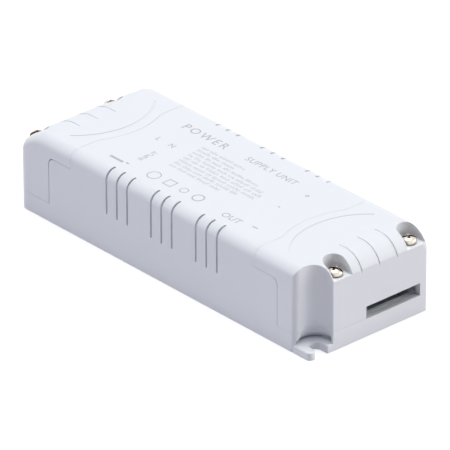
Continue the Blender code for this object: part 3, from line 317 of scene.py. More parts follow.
def combined(piece, shape, operation):
    """Boolean a shape into a piece."""
    tool = new_piece("tool", shape)
    cut = piece.modifiers.new("Cut", "BOOLEAN")
    cut.operation = operation
    cut.solver = "MANIFOLD"
    cut.object = tool
    graph = bpy.context.evaluated_depsgraph_get()
    mesh = bpy.data.meshes.new_from_object(piece.evaluated_get(graph), depsgraph=graph)
    piece.modifiers.clear()
    old = piece.data
    piece.data = mesh
    bpy.data.meshes.remove(old)
    bpy.data.objects.remove(tool, do_unlink=True)
    return piece


def shape_of(piece):
    """Take the shape out of a piece and remove the piece."""
    shape = new_shape()
    shape.from_mesh(piece.data)
    bpy.data.objects.remove(piece, do_unlink=True)
    return shape


def copied(piece, name):
    """A second piece of the same shape."""
    twin = bpy.data.objects.new(name, piece.data.copy())
    bpy.context.scene.collection.objects.link(twin)
    return twin


def finished(piece, name, material, angle=0.5, replaced=()):
    """Weld, smooth and dress a piece, and let it ride with the driver."""
    shape = new_shape()
    shape.from_mesh(piece.data)
    bmesh.ops.remove_doubles(shape, verts=shape.verts, dist=0.000001)
    bmesh.ops.dissolve_degenerate(shape, edges=shape.edges, dist=0.000001)
    shape.to_mesh(piece.data)
    shape.free()
    piece.name = name
    piece.data.name = name
    piece.data.shade_smooth()
    piece.data.set_sharp_from_angle(angle=angle)
    weighted = piece.modifiers.new("Even shading", "WEIGHTED_NORMAL")
    weighted.keep_sharp = True
    weighted.weight = 90
    piece.data.materials.clear()
    piece.data.materials.append(material)
    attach(piece, "root")
    if replaced:
        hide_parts(*replaced)
    return piece


# Case

def fall(reach, radius):
    """How far an arc has fallen at a distance beyond its top."""
    if reach <= 0 or radius <= 0:
        return 0.0
    return radius - sqrt(max(radius ** 2 - reach ** 2, 0.0))


def shoulder(case, side):
    """Radius and reach of the arc over one end."""
    if side < 0:
        return case.mains_shoulder, case.mains_shoulder_reach
    return case.shoulder, case.shoulder_reach


def end_stations(case, side, inset, corner):
    """Distances from the middle at which the form is drawn at one end."""
    end = half_x - inset
    shoulder_x = half_x - shoulder(case, side)[1]
    reach = end - shoulder_x
    places = {0.0, shoulder_x, end}
    steps = 20
    for step in range(1, steps):
        places.add(shoulder_x + reach * sin(pi / 2 * step / steps))
    if corner > 0:
        for step in range(9):
            places.add(end - corner + corner * sin(pi / 2 * step / 8))
    kept = []
    for place in sorted(places):
        if not kept or place - kept[-1] > 0.00002:
            kept.append(place)
    kept[-1] = end
    return kept


def case_form(case, inset, low):
    """The rounded form of the closed case, moved inwards by inset."""
    top = top_z - INK - inset
    edge = max(case.top_edge - inset, 0.0002)
    width = half_y - inset
    corners = {-1: max(case.mains_corner - inset, 0.0002), 1: max(case.output_corner - inset, 0.0002)}
    places = [-x for x in reversed(end_stations(case, -1, inset, corners[-1]))]
    places += end_stations(case, 1, inset, corners[1])[1:]
    shape = new_shape()
    outline(shape, [(-width, low, 0), (width, low, 0), (width, top, edge), (-width, top, edge)])
    shape.transform(Matrix(((0, 0, 1, 0), (1, 0, 0, 0), (0, 1, 0, 0), (0, 0, 0, 1))))
    before = (0.0, 0.0, 0.0, 0.0)
    for number, x in enumerate(places):
        if number:
            covered = face
            grown = bmesh.ops.extrude_face_region(shape, geom=[covered])
            points = points_of(grown["geom"])
            face = [item for item in grown["geom"] if isinstance(item, bmesh.types.BMFace)][0]
            if number > 1:
                bmesh.ops.delete(shape, geom=[covered], context="FACES_ONLY")
        else:
            face = shape.faces[:][0]
            points = shape.verts[:]
        side = 1 if x > 0 else -1
        radius, reach = shoulder(case, side)
        drop = fall(abs(x) - (half_x - reach), radius - inset)
        corner = corners[side]
        turn = fall(abs(x) - (half_x - inset - corner), corner)
        near = turn if side < 0 else 0.0
        distant = turn if side > 0 else 0.0
        now = (x, drop, near, distant)
        bmesh.ops.translate(shape, verts=points, vec=(now[0] - before[0], 0, 0))
        high = [point for point in points if point.co.z > (low + top) / 2]
        bmesh.ops.translate(shape, verts=high, vec=(0, 0, before[1] - now[1]))
        left = [point for point in points if point.co.y < 0]
        bmesh.ops.translate(shape, verts=left, vec=(0, now[2] - before[2], 0))
        right = [point for point in points if point.co.y >= 0]
        bmesh.ops.translate(shape, verts=right, vec=(0, before[3] - now[3], 0))
        before = now
    bmesh.ops.recalc_face_normals(shape, faces=shape.faces)
    return shape


def notch_cutter(case, inset):
    """Room of the notch at the output end, grown into the case by inset."""
    wall_x = half_x - case.notch_depth - inset
    wall_y = case.notch_width - half_y + inset
    side = -half_y - SKIN
    end = half_x + SKIN
    out = 0.005
    if inset:
        corners = [
            (wall_x, side - out, 0),
            (wall_x, wall_y, case.notch_depth - SKIN),
            (end + out, wall_y, 0),
            (end + out, side - out, 0),
        ]
    else:
        corners = [
            (wall_x - out, side, 0),
            (wall_x, side, case.notch_lip),
            (wall_x, wall_y, case.notch_radius),
            (end, wall_y, case.notch_edge),
            (end, wall_y + out, 0),
            (end + out, wall_y + out, 0),
            (end + out, side - out, 0),
            (wall_x - out, side - out, 0),
        ]
    return raised(corners, -0.01, 2 * top_z, 16)


def pocket_shape(place, radius, low):
    """The scoop over a screw, round at the back and open to the end."""
    x, y = place
    corners = [
        (x - radius, y - radius, radius * 0.999),
        (half_x + radius, y - radius, 0),
        (half_x + radius, y + radius, 0),
        (x - radius, y + radius, radius * 0.999),
    ]
    return raised(corners, low, 2 * top_z, 20)


def flute_shape(case, cover, side, y):
    """A groove that widens and deepens from the top over the shoulder."""
    bend, length = shoulder(case, side)
    shoulder_x = half_x - length
    start = shoulder_x - cover.flute_lead
    steps = 20
    depth = cover.flute_depth
    corners = [(start, 2 * top_z, 0), (start, top_z - depth / 3, 0)]
    for step in range(steps + 1):
        share = (step + 0.3) / (steps + 0.3)
        reach = length * sin(pi / 2 * share)
        sunk = depth * (0.5 + 0.5 * share)
        radius = bend - sunk
        reach = min(reach, radius * 0.98)
        corners.append((shoulder_x + reach, top_z - sunk - fall(reach, radius), 0))
    corners += [(far, corners[-1][1], 0), (far, 2 * top_z, 0)]
    shape = lying(corners, -0.5, 0.5)
    for point in shape.verts:
        share = (point.co.x - start) / (half_x - start)
        width = cover.flute_width * (0.5 + 0.5 * min(max(share, 0), 1))
        point.co.y = y + point.co.y * width
    return shape


def ring_shape(cover):
    """The shallow arc groove inside the arc of the seam."""
    width = 0.00045
    depth = 0.0001
    steps = 160
    radius = cover.arc - cover.ring_inset
    centre = half_x - cover.high_reach - cover.arc_rise + cover.ring_inset + radius
    ring = new_piece("ring", disc((centre, 0), radius, top_z - depth, 2 * top_z, steps))
    combined(ring, disc((centre, 0), radius - width, -far, far, steps), "DIFFERENCE")
    reach = cover.ring_reach
    combined(ring, block((0, -reach, -far), (centre, reach, far)), "INTERSECT")
    return shape_of(ring)


def vent_shapes(vents):
    """All slits, with feet that run out on the sides."""
    shapes = []
    count = vents.groups
    for group in range(count):
        for index in range(vents.per_group):
            x = (group - (count - 1) / 2) * vents.group_pitch
            x += (index - (vents.per_group - 1) / 2) * vents.pitch
            for side in (-1, 1):
                inner = half_y - vents.reach
                outer = half_y + vents.reach
                half = vents.width / 2
                slit = block((x - half, inner, top_z - vents.drop), (x + half, outer, 2 * top_z))
                for point in slit.verts:
                    if point.co.z < top_z and point.co.y < half_y:
                        point.co.z += vents.fade
                shapes.append(slit if side > 0 else turned(slit))
    return gathered(shapes)


def cover_zone(cover, grow):
    """The space of the output cover, moved outwards by grow, and less where the seam is tight."""
    low = seam_low - grow / 4
    step = top_z - cover.high_drop - grow / 2
    high_x = half_x - cover.high_reach - grow / 3
    low_x = half_x - cover.low_reach - grow
    corners = [
        (far, low, 0),
        (far, 2 * top_z, 0),
        (high_x, 2 * top_z, 0),
        (high_x, step, 0),
        (low_x, step, cover.corner + grow),
        (low_x, low, 0),
    ]
    zone = new_piece("zone", lying(corners, -far, far))
    apex = half_x - cover.high_reach - cover.arc_rise
    bulge = disc((apex + cover.arc, 0), cover.arc + grow / 3, step + SKIN * 5, 2.5 * top_z, 192)
    combined(zone, bulge, "UNION")
    return shape_of(zone)


def plan_corners(case, inset):
    """The outline of the case from above, moved inwards by inset."""
    x = half_x - inset
    y = half_y - inset
    wall_x = x - case.notch_depth
    wall_y = case.notch_width - y
    arc = min(case.notch_radius + inset, case.notch_depth - SKIN)
    lip = max(case.notch_lip - inset, 0)
    quarter = [(wall_x, -y, lip), (wall_x, wall_y, arc), (x, wall_y, 0)]
    return [
        (-x, -y, max(case.mains_corner - inset, 0)),
        *quarter,
        (x, y, max(case.output_corner - inset, 0)),
        *[(-px, -py, radius) for px, py, radius in quarter],
    ]


def ring_wall(case, outer, inner, low, high):
    """A wall that follows the plan of the case between two insets."""
    wall = new_piece("wall", raised(plan_corners(case, outer), low, high))
    combined(wall, raised(plan_corners(case, inner), -far, far), "DIFFERENCE")
    return shape_of(wall)


def ear_shape(case):
    """The fixing ear at the output end, with its open slot."""
    low_x = half_x - case.notch_depth - case.wall / 3
    wall_y = case.notch_width - half_y
    slot_y = case.ear_slot_inset - half_y
    half = case.ear_slot / 2
    slot_x = half_x - case.ear_slot_depth
    corners = [
        (low_x, -half_y, 0),
        (half_x, -half_y, case.ear_tip),
        (half_x, slot_y - half, case.ear_tip),
        (slot_x, slot_y - half, half * 0.999),
        (slot_x, slot_y + half, half * 0.999),
        (half_x, slot_y + half, case.notch_edge),
        (half_x, wall_y + case.notch_edge / 2, 0),
        (half_x - case.wall / 3, wall_y + case.wall / 2, 0),
        (low_x, wall_y + case.wall / 2, 0),
    ]
    plate = raised(corners, 0, case.ear)
    rim = [edge for edge in plate.edges if min(point.co.z for point in edge.verts) > case.ear / 2]
    bmesh.ops.bevel(
        plate, geom=rim, offset=case.notch_edge, segments=4, profile=0.5, affect="EDGES", material=-1)
    ear = new_piece("ear", plate)
    combined(ear, raised(plan_corners(case, case.wall / 2), -far, far), "DIFFERENCE")
    return shape_of(ear)


def washer_shape(case):
    """Room for the head and washer of a fixing screw, with a sloping roof, short of the end face."""
    low = case.ear - SKIN
    roof = 0.0080
    neck = 0.0029
    undercut = 0.0034
    foot = case.washer + 0.0004
    room = spun([
        (0, roof), (neck, roof), (case.washer - 0.0003, 0.0035), (foot, undercut), (foot, low), (0, low)])
    place = (half_x - case.ear_slot_depth + case.ear_slot / 2, case.ear_slot_inset - half_y, 0)
    bmesh.ops.translate(room, vec=place, verts=room.verts)
    washer = new_piece("washer", room)
    skirt = 0.0006
    combined(washer, block((0, -far, -far), (half_x - skirt, far, far)), "INTERSECT")
    return shape_of(washer)


def cable_slot_shape(cover, inner_x):
    """The opening for the cable, from inner_x outwards."""
    slot_far = half_y - cover.slot_inset
    low = (inner_x, slot_far - cover.slot_length, seam_low - 0.0003)
    return block(low, (far, slot_far, seam_low + cover.slot_height))


def slot_room_shape(case, cover, inner_x):
    """Room behind the cable slot, a little longer and higher than the slot."""
    spare = 0.0012
    slot_far = half_y - cover.slot_inset
    low = (inner_x, slot_far - cover.slot_length, seam_low)
    return block(low, (half_x - case.wall, slot_far + spare, seam_low + cover.slot_height + spare))


def closed_case(case, cover):
    """The whole case as one hollow shell with its scoops, notches and grooves."""
    hollow = new_piece("hollow", case_form(case, case.wall, -0.01))
    floor = top_z - cover.pocket_drop
    bosses = [
        pocket_shape(place, cover.pocket + case.wall, floor - case.wall) for place in screw_places]
    for boss in bosses:
        combined(hollow, both_ends(boss), "DIFFERENCE")
    combined(hollow, both_ends(notch_cutter(case, case.wall)), "DIFFERENCE")
    shell = new_piece("shell", case_form(case, 0, 0))
    combined(shell, shape_of(hollow), "DIFFERENCE")
    combined(shell, both_ends(notch_cutter(case, 0)), "DIFFERENCE")
    scoops = [pocket_shape(place, cover.pocket, floor) for place in screw_places]
    clearance = 0.0003
    bore = bpy.context.scene.driver_screws.shank + clearance
    scoops += [disc(place, bore, 0, floor + SKIN, 24) for place in screw_places]
    for scoop in scoops:
        combined(shell, both_ends(scoop), "DIFFERENCE")
    middle = cover.flute_middle
    for side in (1, -1):
        flutes = gathered([
            flute_shape(case, cover, side, middle + step * cover.flute_pitch) for step in (-1, 0, 1)])
        combined(shell, flutes if side > 0 else turned(flutes), "DIFFERENCE")
    return shell


def parted_covers(shell, cover):
    """Part the closed case along the seams; what stays of it is the housing."""
    output = copied(shell, "output")
    mains = copied(shell, "mains")
    combined(output, cover_zone(cover, 0), "INTERSECT")
    combined(mains, turned(cover_zone(cover, 0)), "INTERSECT")
    combined(output, ring_shape(cover), "DIFFERENCE")
    combined(mains, turned(ring_shape(cover)), "DIFFERENCE")
    combined(shell, cover_zone(cover, cover.output_seam), "DIFFERENCE")
    combined(shell, turned(cover_zone(cover, cover.mains_seam)), "DIFFERENCE")
    return output, mains


def add_collar(shell, case, cover, back):
    """The collar that the covers slip over, on a thicker foot."""
    clear = 0.0023
    gap = half_x - cover.low_reach - 2 * case.wall
    foot = (case.wall / 2, seam_low - 0.0004)
    collar = (case.wall + case.collar_gap, top_z - case.collar_drop)
    for outer, top in (foot, collar):
        wall = new_piece("wall", ring_wall(case, outer, back, clear, top))
        combined(wall, block((-gap, -far, -far), (gap, far, far)), "DIFFERENCE")
        combined(shell, shape_of(wall), "UNION")


class MakeCase(bpy.types.Operator):
    """Make the housing and the two end covers"""
    bl_idname = "led_driver.make_case"
    bl_label = "Case and covers"

    def execute(self, context):
        case = context.scene.driver_case
        cover = context.scene.driver_covers
        white = moulding_material(context.scene.driver_colours)
        shell = closed_case(case, cover)
        output, mains = parted_covers(shell, cover)
        back = case.wall + case.collar_gap + case.collar_wall
        add_collar(shell, case, cover, back)
        combined(shell, both_ends(ear_shape(case)), "UNION")
        combined(shell, both_ends(washer_shape(case)), "DIFFERENCE")
        combined(shell, both_ends(cable_slot_shape(cover, half_x - back - 0.001)), "DIFFERENCE")
        combined(shell, both_ends(slot_room_shape(case, cover, half_x - back - 0.0012)), "DIFFERENCE")
        combined(shell, vent_shapes(context.scene.driver_vents), "DIFFERENCE")
        inner_x = half_x - 2 * case.wall
        combined(output, cable_slot_shape(cover, inner_x), "DIFFERENCE")
        combined(output, washer_shape(case), "DIFFERENCE")
        combined(mains, turned(cable_slot_shape(cover, inner_x)), "DIFFERENCE")
        combined(mains, turned(washer_shape(case)), "DIFFERENCE")
        finished(shell, "housing_moulding", white, replaced=["housing"])
        finished(output, "output_cover_moulding", white, replaced=["output_cover"])
        finished(mains, "mains_cover_moulding", white, replaced=["input_cover"])
        return {"FINISHED"}


# Screws

def screw_shape(sizes):
    """A pan head on a threaded shank, standing on Z with its top at zero."""
    base = -sizes.head_height
    dome = sizes.head_height * 0.6
    profile = [(0, 0)]
    for step in range(1, 9):
        angle = pi / 2 * step / 8
        profile.append((sizes.head * sin(angle), -dome * (1 - cos(angle))))
    profile += [(sizes.head, base + 0.0001), (sizes.head - 0.0001, base), (sizes.shank, base)]
    tip = screw_tip - screw_top
    turns = 9
    root = sizes.shank * 0.8
    run = (base - tip - 2 * sizes.shank) / turns
    for turn in range(turns):
        height = base - 0.0003 - turn * run
        crest = height - run * 0.5
        profile += [(root, crest + run * 0.25), (sizes.shank, crest), (root, crest - run * 0.25)]
    profile += [(sizes.shank * 0.7, tip + 1.2 * sizes.shank), (0, tip)]
    return spun(profile)


def recess_shapes(sizes, turn):
    """The driver slot right across the head, and the tapered cross in its middle."""
    slot = block((-far, -sizes.slot / 2, -sizes.depth), (far, sizes.slot / 2, sizes.depth))
    shapes = [slot]
    half = sizes.cross / 2
    for quarter in (0, pi / 2):
        arm = block((-half, -sizes.slot / 2, -0.0013), (half, sizes.slot / 2, 0.001))
        for point in arm.verts:
            if point.co.z < 0:
                point.co.x *= 0.35
                point.co.y *= 0.7
        arm.transform(Matrix.Rotation(quarter, 4, "Z"))
        shapes.append(arm)
    for shape in shapes:
        shape.transform(Matrix.Rotation(turn, 4, "Z"))
    return shapes


class MakeScrews(bpy.types.Operator):
    """Make the four cover screws"""
    bl_idname = "led_driver.make_screws"
    bl_label = "Cover screws"

    def execute(self, context):
        sizes = context.scene.driver_screws
        nickel = nickel_material(context.scene.driver_colours)
        turns = (0.45, 0.95, -0.3, 1.2)
        for number, turn in enumerate(turns, 1):
            low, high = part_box(f"cover_screw_{number}")
            screw = new_piece("screw", screw_shape(sizes))
            for shape in recess_shapes(sizes, turn):
                combined(screw, shape, "DIFFERENCE")
            middle = ((low.x + high.x) / 2, (low.y + high.y) / 2, high.z)
            screw.data.transform(Matrix.Translation(middle))
            finished(
                screw, f"nickel_screw_{number}", nickel, 0.6,
                replaced=[f"cover_screw_{number}"])
        return {"FINISHED"}


# Base plate

class MakeBase(bpy.types.Operator):
    """Make the base plate with its moulded details"""
    bl_idname = "led_driver.make_base"
    bl_label = "Base plate"

    def execute(self, context):
        case = context.scene.driver_case
        white = moulding_material(context.scene.driver_colours)
        inset = case.wall + case.collar_gap
        thickness = 0.0020
        plate = new_piece("plate", raised(plan_corners(case, inset), 0, thickness))
        x, y, radius = 0.044, 0.0135, 0.002
        recess = [(-x, -y, radius), (x, -y, radius), (x, y, radius), (-x, y, radius)]
        combined(plate, raised(recess, -0.001, 0.0003), "DIFFERENCE")
        marks = []
        for x in (-0.040, 0.0, 0.040):
            for y in (-0.010, 0.010):
                marks.append(disc((x, y), 0.0025, 0.0001, 0.00045, 48))
        combined(plate, gathered(marks), "DIFFERENCE")
        slots = []
        for x in (-0.026, 0.0, 0.026):
            for side in (-1, 1):
                y = side * (half_y - inset - 0.0013)
                slots.append(block((x - 0.003, y - 0.0006, -0.001), (x + 0.003, y + 0.0006, 0.0012)))
        combined(plate, gathered(slots), "DIFFERENCE")
        posts = []
        for x in (-0.040, 0.040):
            for y in (-0.012, 0.012):
                posts.append(disc((x, y), 0.0025, 0.0015, base_top, 32))
        combined(plate, gathered(posts), "UNION")
        finished(plate, "base_plate_moulding", white, replaced=["base_plate"])
        return {"FINISHED"}


# Print

def ink_mesh(words, size, place, turn=0.0, spread=1.0):
    """A line of type as a thin solid on the top of the case."""
    curve = bpy.data.curves.new("words", "FONT")
    curve.body = words
    curve.size = size
    curve.space_character = spread
    curve.resolution_u = 3
    curve.extrude = INK
    item = bpy.data.objects.new("words", curve)
    bpy.context.scene.collection.objects.link(item)
    graph = bpy.context.evaluated_depsgraph_get()
    mesh = bpy.data.meshes.new_from_object(item.evaluated_get(graph), depsgraph=graph)
    bpy.data.objects.remove(item, do_unlink=True)
    bpy.data.curves.remove(curve)
    mesh.transform(Matrix.Translation((*place, top_z - INK)) @ Matrix.Rotation(turn, 4, "Z"))
    shape = new_shape()
    shape.from_mesh(mesh)
    bpy.data.meshes.remove(mesh)
    return shape


def bar(low, high):
    """A flat bar of ink between two corners."""
    return block((*low, top_z - 2 * INK), (*high, top_z))


def ruled_line(draw, start, end, y, height):
    """A row of fine upright strokes, grouped like the words of small type."""
    strokes = []
    x = start
    while x < end:
        for _ in range(draw.randint(3, 8)):
            rise = height * draw.choice((0.7, 0.7, 1.0))
            strokes.append(bar((x, y), (x + 0.00018, y + rise)))
            if draw.random() < 0.6:
                level = y + draw.choice((0.0, rise / 2, rise - 0.00014))
                strokes.append(bar((x + 0.0002, level), (x + 0.00045, level + 0.00014)))
            x += 0.00062
        x += 0.0006
    return strokes


def ink_frame(corners, line):
    """A closed line of ink round a plain figure, from (x, y) corners about a middle."""
    middle = sum((Vector(corner) for corner in corners), Vector((0, 0))) / len(corners)
    outer = raised([(x, y, 0) for x, y in corners], top_z - 2 * INK, top_z)
    inner = []
    for corner in corners:
        arm = Vector(corner) - middle
        inner.append((*(middle + arm * (1 - line / arm.length)), 0))
    ring = new_piece("ring", outer)
    combined(ring, raised(inner, 0, 2 * top_z), "DIFFERENCE")
    return shape_of(ring)


def figure(place, radius, sides, turn=0.0):
    """Corners of an even figure."""
    x, y = place
    angles = [turn + 2 * pi * side / sides for side in range(sides)]
    return [(x + radius * cos(angle), y + radius * sin(angle)) for angle in angles]


class MakePrint(bpy.types.Operator):
    """Make the pale grey print on the top"""
    bl_idname = "led_driver.make_print"
    bl_label = "Print"

    def execute(self, context):
        ink = ink_material(context.scene.driver_colours)
        title = [
            ink_mesh("POWER", 0.0041, (-0.0268, 0.0098), spread=1.32),
            ink_mesh("SUPPLY UNIT", 0.0031, (-0.0024, 0.0101), spread=1.06),
        ]
        draw = Random(4)
        rows = (-0.0010, -0.0005, 0.0095, 0.0115, 0.0150, 0.0135, 0.0090, 0.0030)
        small_type = []
        for row, end in enumerate(rows):
            y = 0.0060 - row * 0.00178
            small_type += ruled_line(draw, -0.0143 + 0.0002 * row, end, y, 0.00115)
        marks = [
            ink_mesh("L", 0.0026, (-0.0264, 0.0005)),
            ink_mesh("N", 0.0026, (-0.0214, 0.0004)),
            ink_mesh("INPUT", 0.0022, (-0.0196, -0.0102), pi / 2),
            ink_mesh("+", 0.0032, (0.0226, 0.0076)),
            ink_mesh("-", 0.0034, (0.0225, -0.0014)),
            ink_mesh("OUT", 0.0032, (0.0160, -0.0147)),
            bar((-0.0271, -0.0145), (-0.0221, -0.0137)),
            bar((-0.0214, -0.0139), (-0.0203, -0.0134)),
            bar((0.0262, -0.0128), (0.0282, -0.0124)),
        ]
        figures = [
            ink_frame(figure((-0.0113, -0.0129), 0.0020, 24), 0.00030),
            ink_frame(figure((-0.0053, -0.0127), 0.0022, 4, pi / 4), 0.00045),
            ink_frame(figure((0.0001, -0.0127), 0.0013, 24), 0.00026),
            ink_frame(figure((0.0056, -0.0127), 0.0018, 24), 0.0004),
        ]
        groups = {"title": title, "small_type": small_type, "marks": marks, "figures": figures}
        for name, shapes in groups.items():
            piece = new_piece(name, gathered(shapes))
            piece.data.materials.append(ink)
            piece.name = f"print_{name}"
            piece.data.name = piece.name
            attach(piece, "root")
        return {"FINISHED"}


# Finishes

def new_material(name):
    material = bpy.data.materials.new(name)
    material.use_nodes = True
    tree = material.node_tree
    return material, tree, tree.nodes["Principled BSDF"]


def grain(tree, scale, detail=3.0):
    """Noise on Object coordinates."""
    place = tree.nodes.new("ShaderNodeTexCoord")
    noise = tree.nodes.new("ShaderNodeTexNoise")
    noise.inputs["Scale"].default_value = scale
    noise.inputs["Detail"].default_value = detail
    tree.links.new(place.outputs["Object"], noise.inputs["Vector"])
    return noise


def varied(tree, shader, colour, scale, share):
    """A base colour that wanders a little over the surface."""
    noise = grain(tree, scale)
    mix = tree.nodes.new("ShaderNodeMix")
    mix.data_type = "RGBA"
    mix.inputs["A"].default_value = (*[channel * (1 - share) for channel in colour], 1)
    mix.inputs["B"].default_value = (*[min(channel * (1 + share), 1) for channel in colour], 1)
    tree.links.new(noise.outputs["Fac"], mix.inputs["Factor"])
    tree.links.new(mix.outputs["Result"], shader.inputs["Base Color"])


def roughened(tree, shader, scale, low, high):
    """Roughness that wanders between low and high."""
    noise = grain(tree, scale)
    spread = tree.nodes.new("ShaderNodeMapRange")
    spread.inputs["To Min"].default_value = low
    spread.inputs["To Max"].default_value = high
    tree.links.new(noise.outputs["Fac"], spread.inputs["Value"])
    tree.links.new(spread.outputs["Result"], shader.inputs["Roughness"])


def textured(tree, shader, scale, height, soft_edge=0.0):
    """A fine bump, over edges that are softened by soft_edge."""
    noise = grain(tree, scale, 2.0)
    bump = tree.nodes.new("ShaderNodeBump")
    bump.inputs["Strength"].default_value = 1.0
    bump.inputs["Distance"].default_value = height
    tree.links.new(noise.outputs["Fac"], bump.inputs["Height"])
    if soft_edge:
        edge = tree.nodes.new("ShaderNodeBevel")
        edge.samples = 6
        edge.inputs["Radius"].default_value = soft_edge
        tree.links.new(edge.outputs["Normal"], bump.inputs["Normal"])
    tree.links.new(bump.outputs["Normal"], shader.inputs["Normal"])


def painted_crevice_shade(tree, shader, colour, reach):
    """Painted shade: the base colour darkens towards colour in the recesses, within reach of other
    surfaces.
    """
    crowd = tree.nodes.new("ShaderNodeAmbientOcclusion")
    crowd.samples = 12
    crowd.inputs["Distance"].default_value = reach
    spread = tree.nodes.new("ShaderNodeMapRange")
    spread.interpolation_type = "SMOOTHSTEP"
    spread.inputs["From Min"].default_value = 0.25
    spread.inputs["From Max"].default_value = 0.90
    mix = tree.nodes.new("ShaderNodeMix")
    mix.data_type = "RGBA"
    mix.inputs["A"].default_value = (*colour, 1)
    plain = shader.inputs["Base Color"].links[0].from_socket
    tree.links.new(crowd.outputs["AO"], spread.inputs["Value"])
    tree.links.new(spread.outputs["Result"], mix.inputs["Factor"])
    tree.links.new(plain, mix.inputs["B"])
    tree.links.new(mix.outputs["Result"], shader.inputs["Base Color"])


def moulding_material(colours):
    """Cool white moulded plastic with a fine spark-eroded grain."""
    made = bpy.data.materials.get("white_moulding")
    if made:
        return made
    material, tree, shader = new_material("white_moulding")
    varied(tree, shader, colours.moulding, 60, 0.012)
    roughened(tree, shader, 900, 0.58, 0.70)
    textured(tree, shader, 5000, 0.000006, 0.00016)
    shader.inputs["IOR"].default_value = 1.5
    return material


def ink_material(colours):
    """Thin grey print."""
    material, tree, shader = new_material("grey_ink")
    varied(tree, shader, colours.ink, 2500, 0.12)
    roughened(tree, shader, 1500, 0.5, 0.65)
    return material


def nickel_material(colours):
    """Bright plating with fine turning marks."""
    material, tree, shader = new_material("bright_nickel")
    varied(tree, shader, colours.nickel, 1400, 0.30)
    # painted shade: the screw recesses darken towards a dark brown
    painted_crevice_shade(tree, shader, (0.12, 0.06, 0.05), 0.0018)
    roughened(tree, shader, 2500, 0.10, 0.26)
    textured(tree, shader, 4000, 0.000004, 0.00008)
    shader.inputs["Metallic"].default_value = 1.0
    return material


def plain_finish(name, colour, rough, metallic=0.0, scale=400, height=0.000008):
    """A finish with a fine grain, for an inner part."""
    material, tree, shader = new_material(name)
    varied(tree, shader, colour, scale / 4, 0.06)
    roughened(tree, shader, scale, rough * 0.85, min(rough * 1.15, 1))
    textured(tree, shader, scale * 6, height)
    shader.inputs["Metallic"].default_value = metallic
    return material


def wound_finish(name, colour, rough, pitch):
    """Turns of wire or tape: fine bands across a coil."""
    material, tree, shader = new_material(name)
    place = tree.nodes.new("ShaderNodeTexCoord")
    bands = tree.nodes.new("ShaderNodeTexWave")
    bands.bands_direction = "Y"
    bands.inputs["Scale"].default_value = 1 / pitch / 20
    bands.inputs["Distortion"].default_value = 0.6
    bands.inputs["Detail"].default_value = 1.0
    bump = tree.nodes.new("ShaderNodeBump")
    bump.inputs["Strength"].default_value = 1.0
    bump.inputs["Distance"].default_value = pitch / 6
    tree.links.new(place.outputs["Object"], bands.inputs["Vector"])
    tree.links.new(bands.outputs["Fac"], bump.inputs["Height"])
    tree.links.new(bump.outputs["Normal"], shader.inputs["Normal"])
    varied(tree, shader, colour, 300, 0.12)
    shader.inputs["Roughness"].default_value = rough
    return material


class DressInnerParts(bpy.types.Operator):
    """Give the board, its parts and the terminals their finishes"""
    bl_idname = "led_driver.dress_inner_parts"
    bl_label = "Inner parts"

    def execute(self, context):
        finishes = {
            "board": plain_finish("board_laminate", (0.04, 0.20, 0.08), 0.45, scale=600),
            "terminal_body": plain_finish("terminal_green", (0.08, 0.34, 0.17), 0.45),
            "terminal_metal": plain_finish("tinned_brass", (0.74, 0.73, 0.70), 0.3, 1.0),
            "black_moulding": plain_finish("black_moulding", (0.02, 0.02, 0.022), 0.5),
            "ferrite": plain_finish("ferrite", (0.045, 0.045, 0.05), 0.65, height=0.00002),
            "copper": wound_finish("enamelled_wire", (0.50, 0.20, 0.07), 0.35, 0.0005),
            "tape": plain_finish("yellow_tape", (0.80, 0.58, 0.07), 0.4),
            "aluminium": plain_finish("rolled_aluminium", (0.72, 0.73, 0.75), 0.35, 1.0),
            "blue_coating": plain_finish("blue_coating", (0.05, 0.16, 0.46), 0.35),
            "sleeve": plain_finish("black_sleeve", (0.03, 0.035, 0.05), 0.3),
            "brown_moulding": plain_finish("brown_moulding", (0.28, 0.11, 0.05), 0.45),
        }
        for row in frame["record"]["subparts"]:
            part = frame["nodes"][row["node"]]
            finish = finishes.get(row["material_slot"])
            if finish and not part.hide_render:
                part.data.materials.clear()
                part.data.materials.append(finish)
        return {"FINISHED"}


# Studio

def seen_rays(tree):
    """One for the lens, for gloss and for clear materials, and nought for light that is thrown back."""
    path = tree.nodes.new("ShaderNodeLightPath")
    seen = tree.nodes.new("ShaderNodeMath")
    seen.operation = "MAXIMUM"
    tree.links.new(path.outputs["Is Camera Ray"], seen.inputs[0])
    tree.links.new(path.outputs["Is Glossy Ray"], seen.inputs[1])
    either = tree.nodes.new("ShaderNodeMath")
    either.operation = "MAXIMUM"
    tree.links.new(seen.outputs["Value"], either.inputs[0])
    tree.links.new(path.outputs["Is Transmission Ray"], either.inputs[1])
    return either.outputs["Value"]


def pale_floor():
    """A floor that looks white to the lens and in gloss, and throws back little light."""
    material, tree, shader = new_material("studio_floor")
    seen = seen_rays(tree)
    mix = tree.nodes.new("ShaderNodeMix")
    mix.data_type = "RGBA"
    mix.inputs["A"].default_value = (0.72, 0.70, 0.76, 1)
    mix.inputs["B"].default_value = (0.50, 0.50, 0.50, 1)
    tree.links.new(seen, mix.inputs["Factor"])
    tree.links.new(mix.outputs["Result"], shader.inputs["Base Color"])
    glow = tree.nodes.new("ShaderNodeMath")
    glow.operation = "MULTIPLY"
    glow.inputs[1].default_value = 0.62
    tree.links.new(seen, glow.inputs[0])
    tree.links.new(glow.outputs["Value"], shader.inputs["Emission Strength"])
    shader.inputs["Emission Color"].default_value = (1, 1, 1, 1)
    shader.inputs["Roughness"].default_value = 1.0
    shader.inputs["Specular IOR Level"].default_value = 0.0
    return material


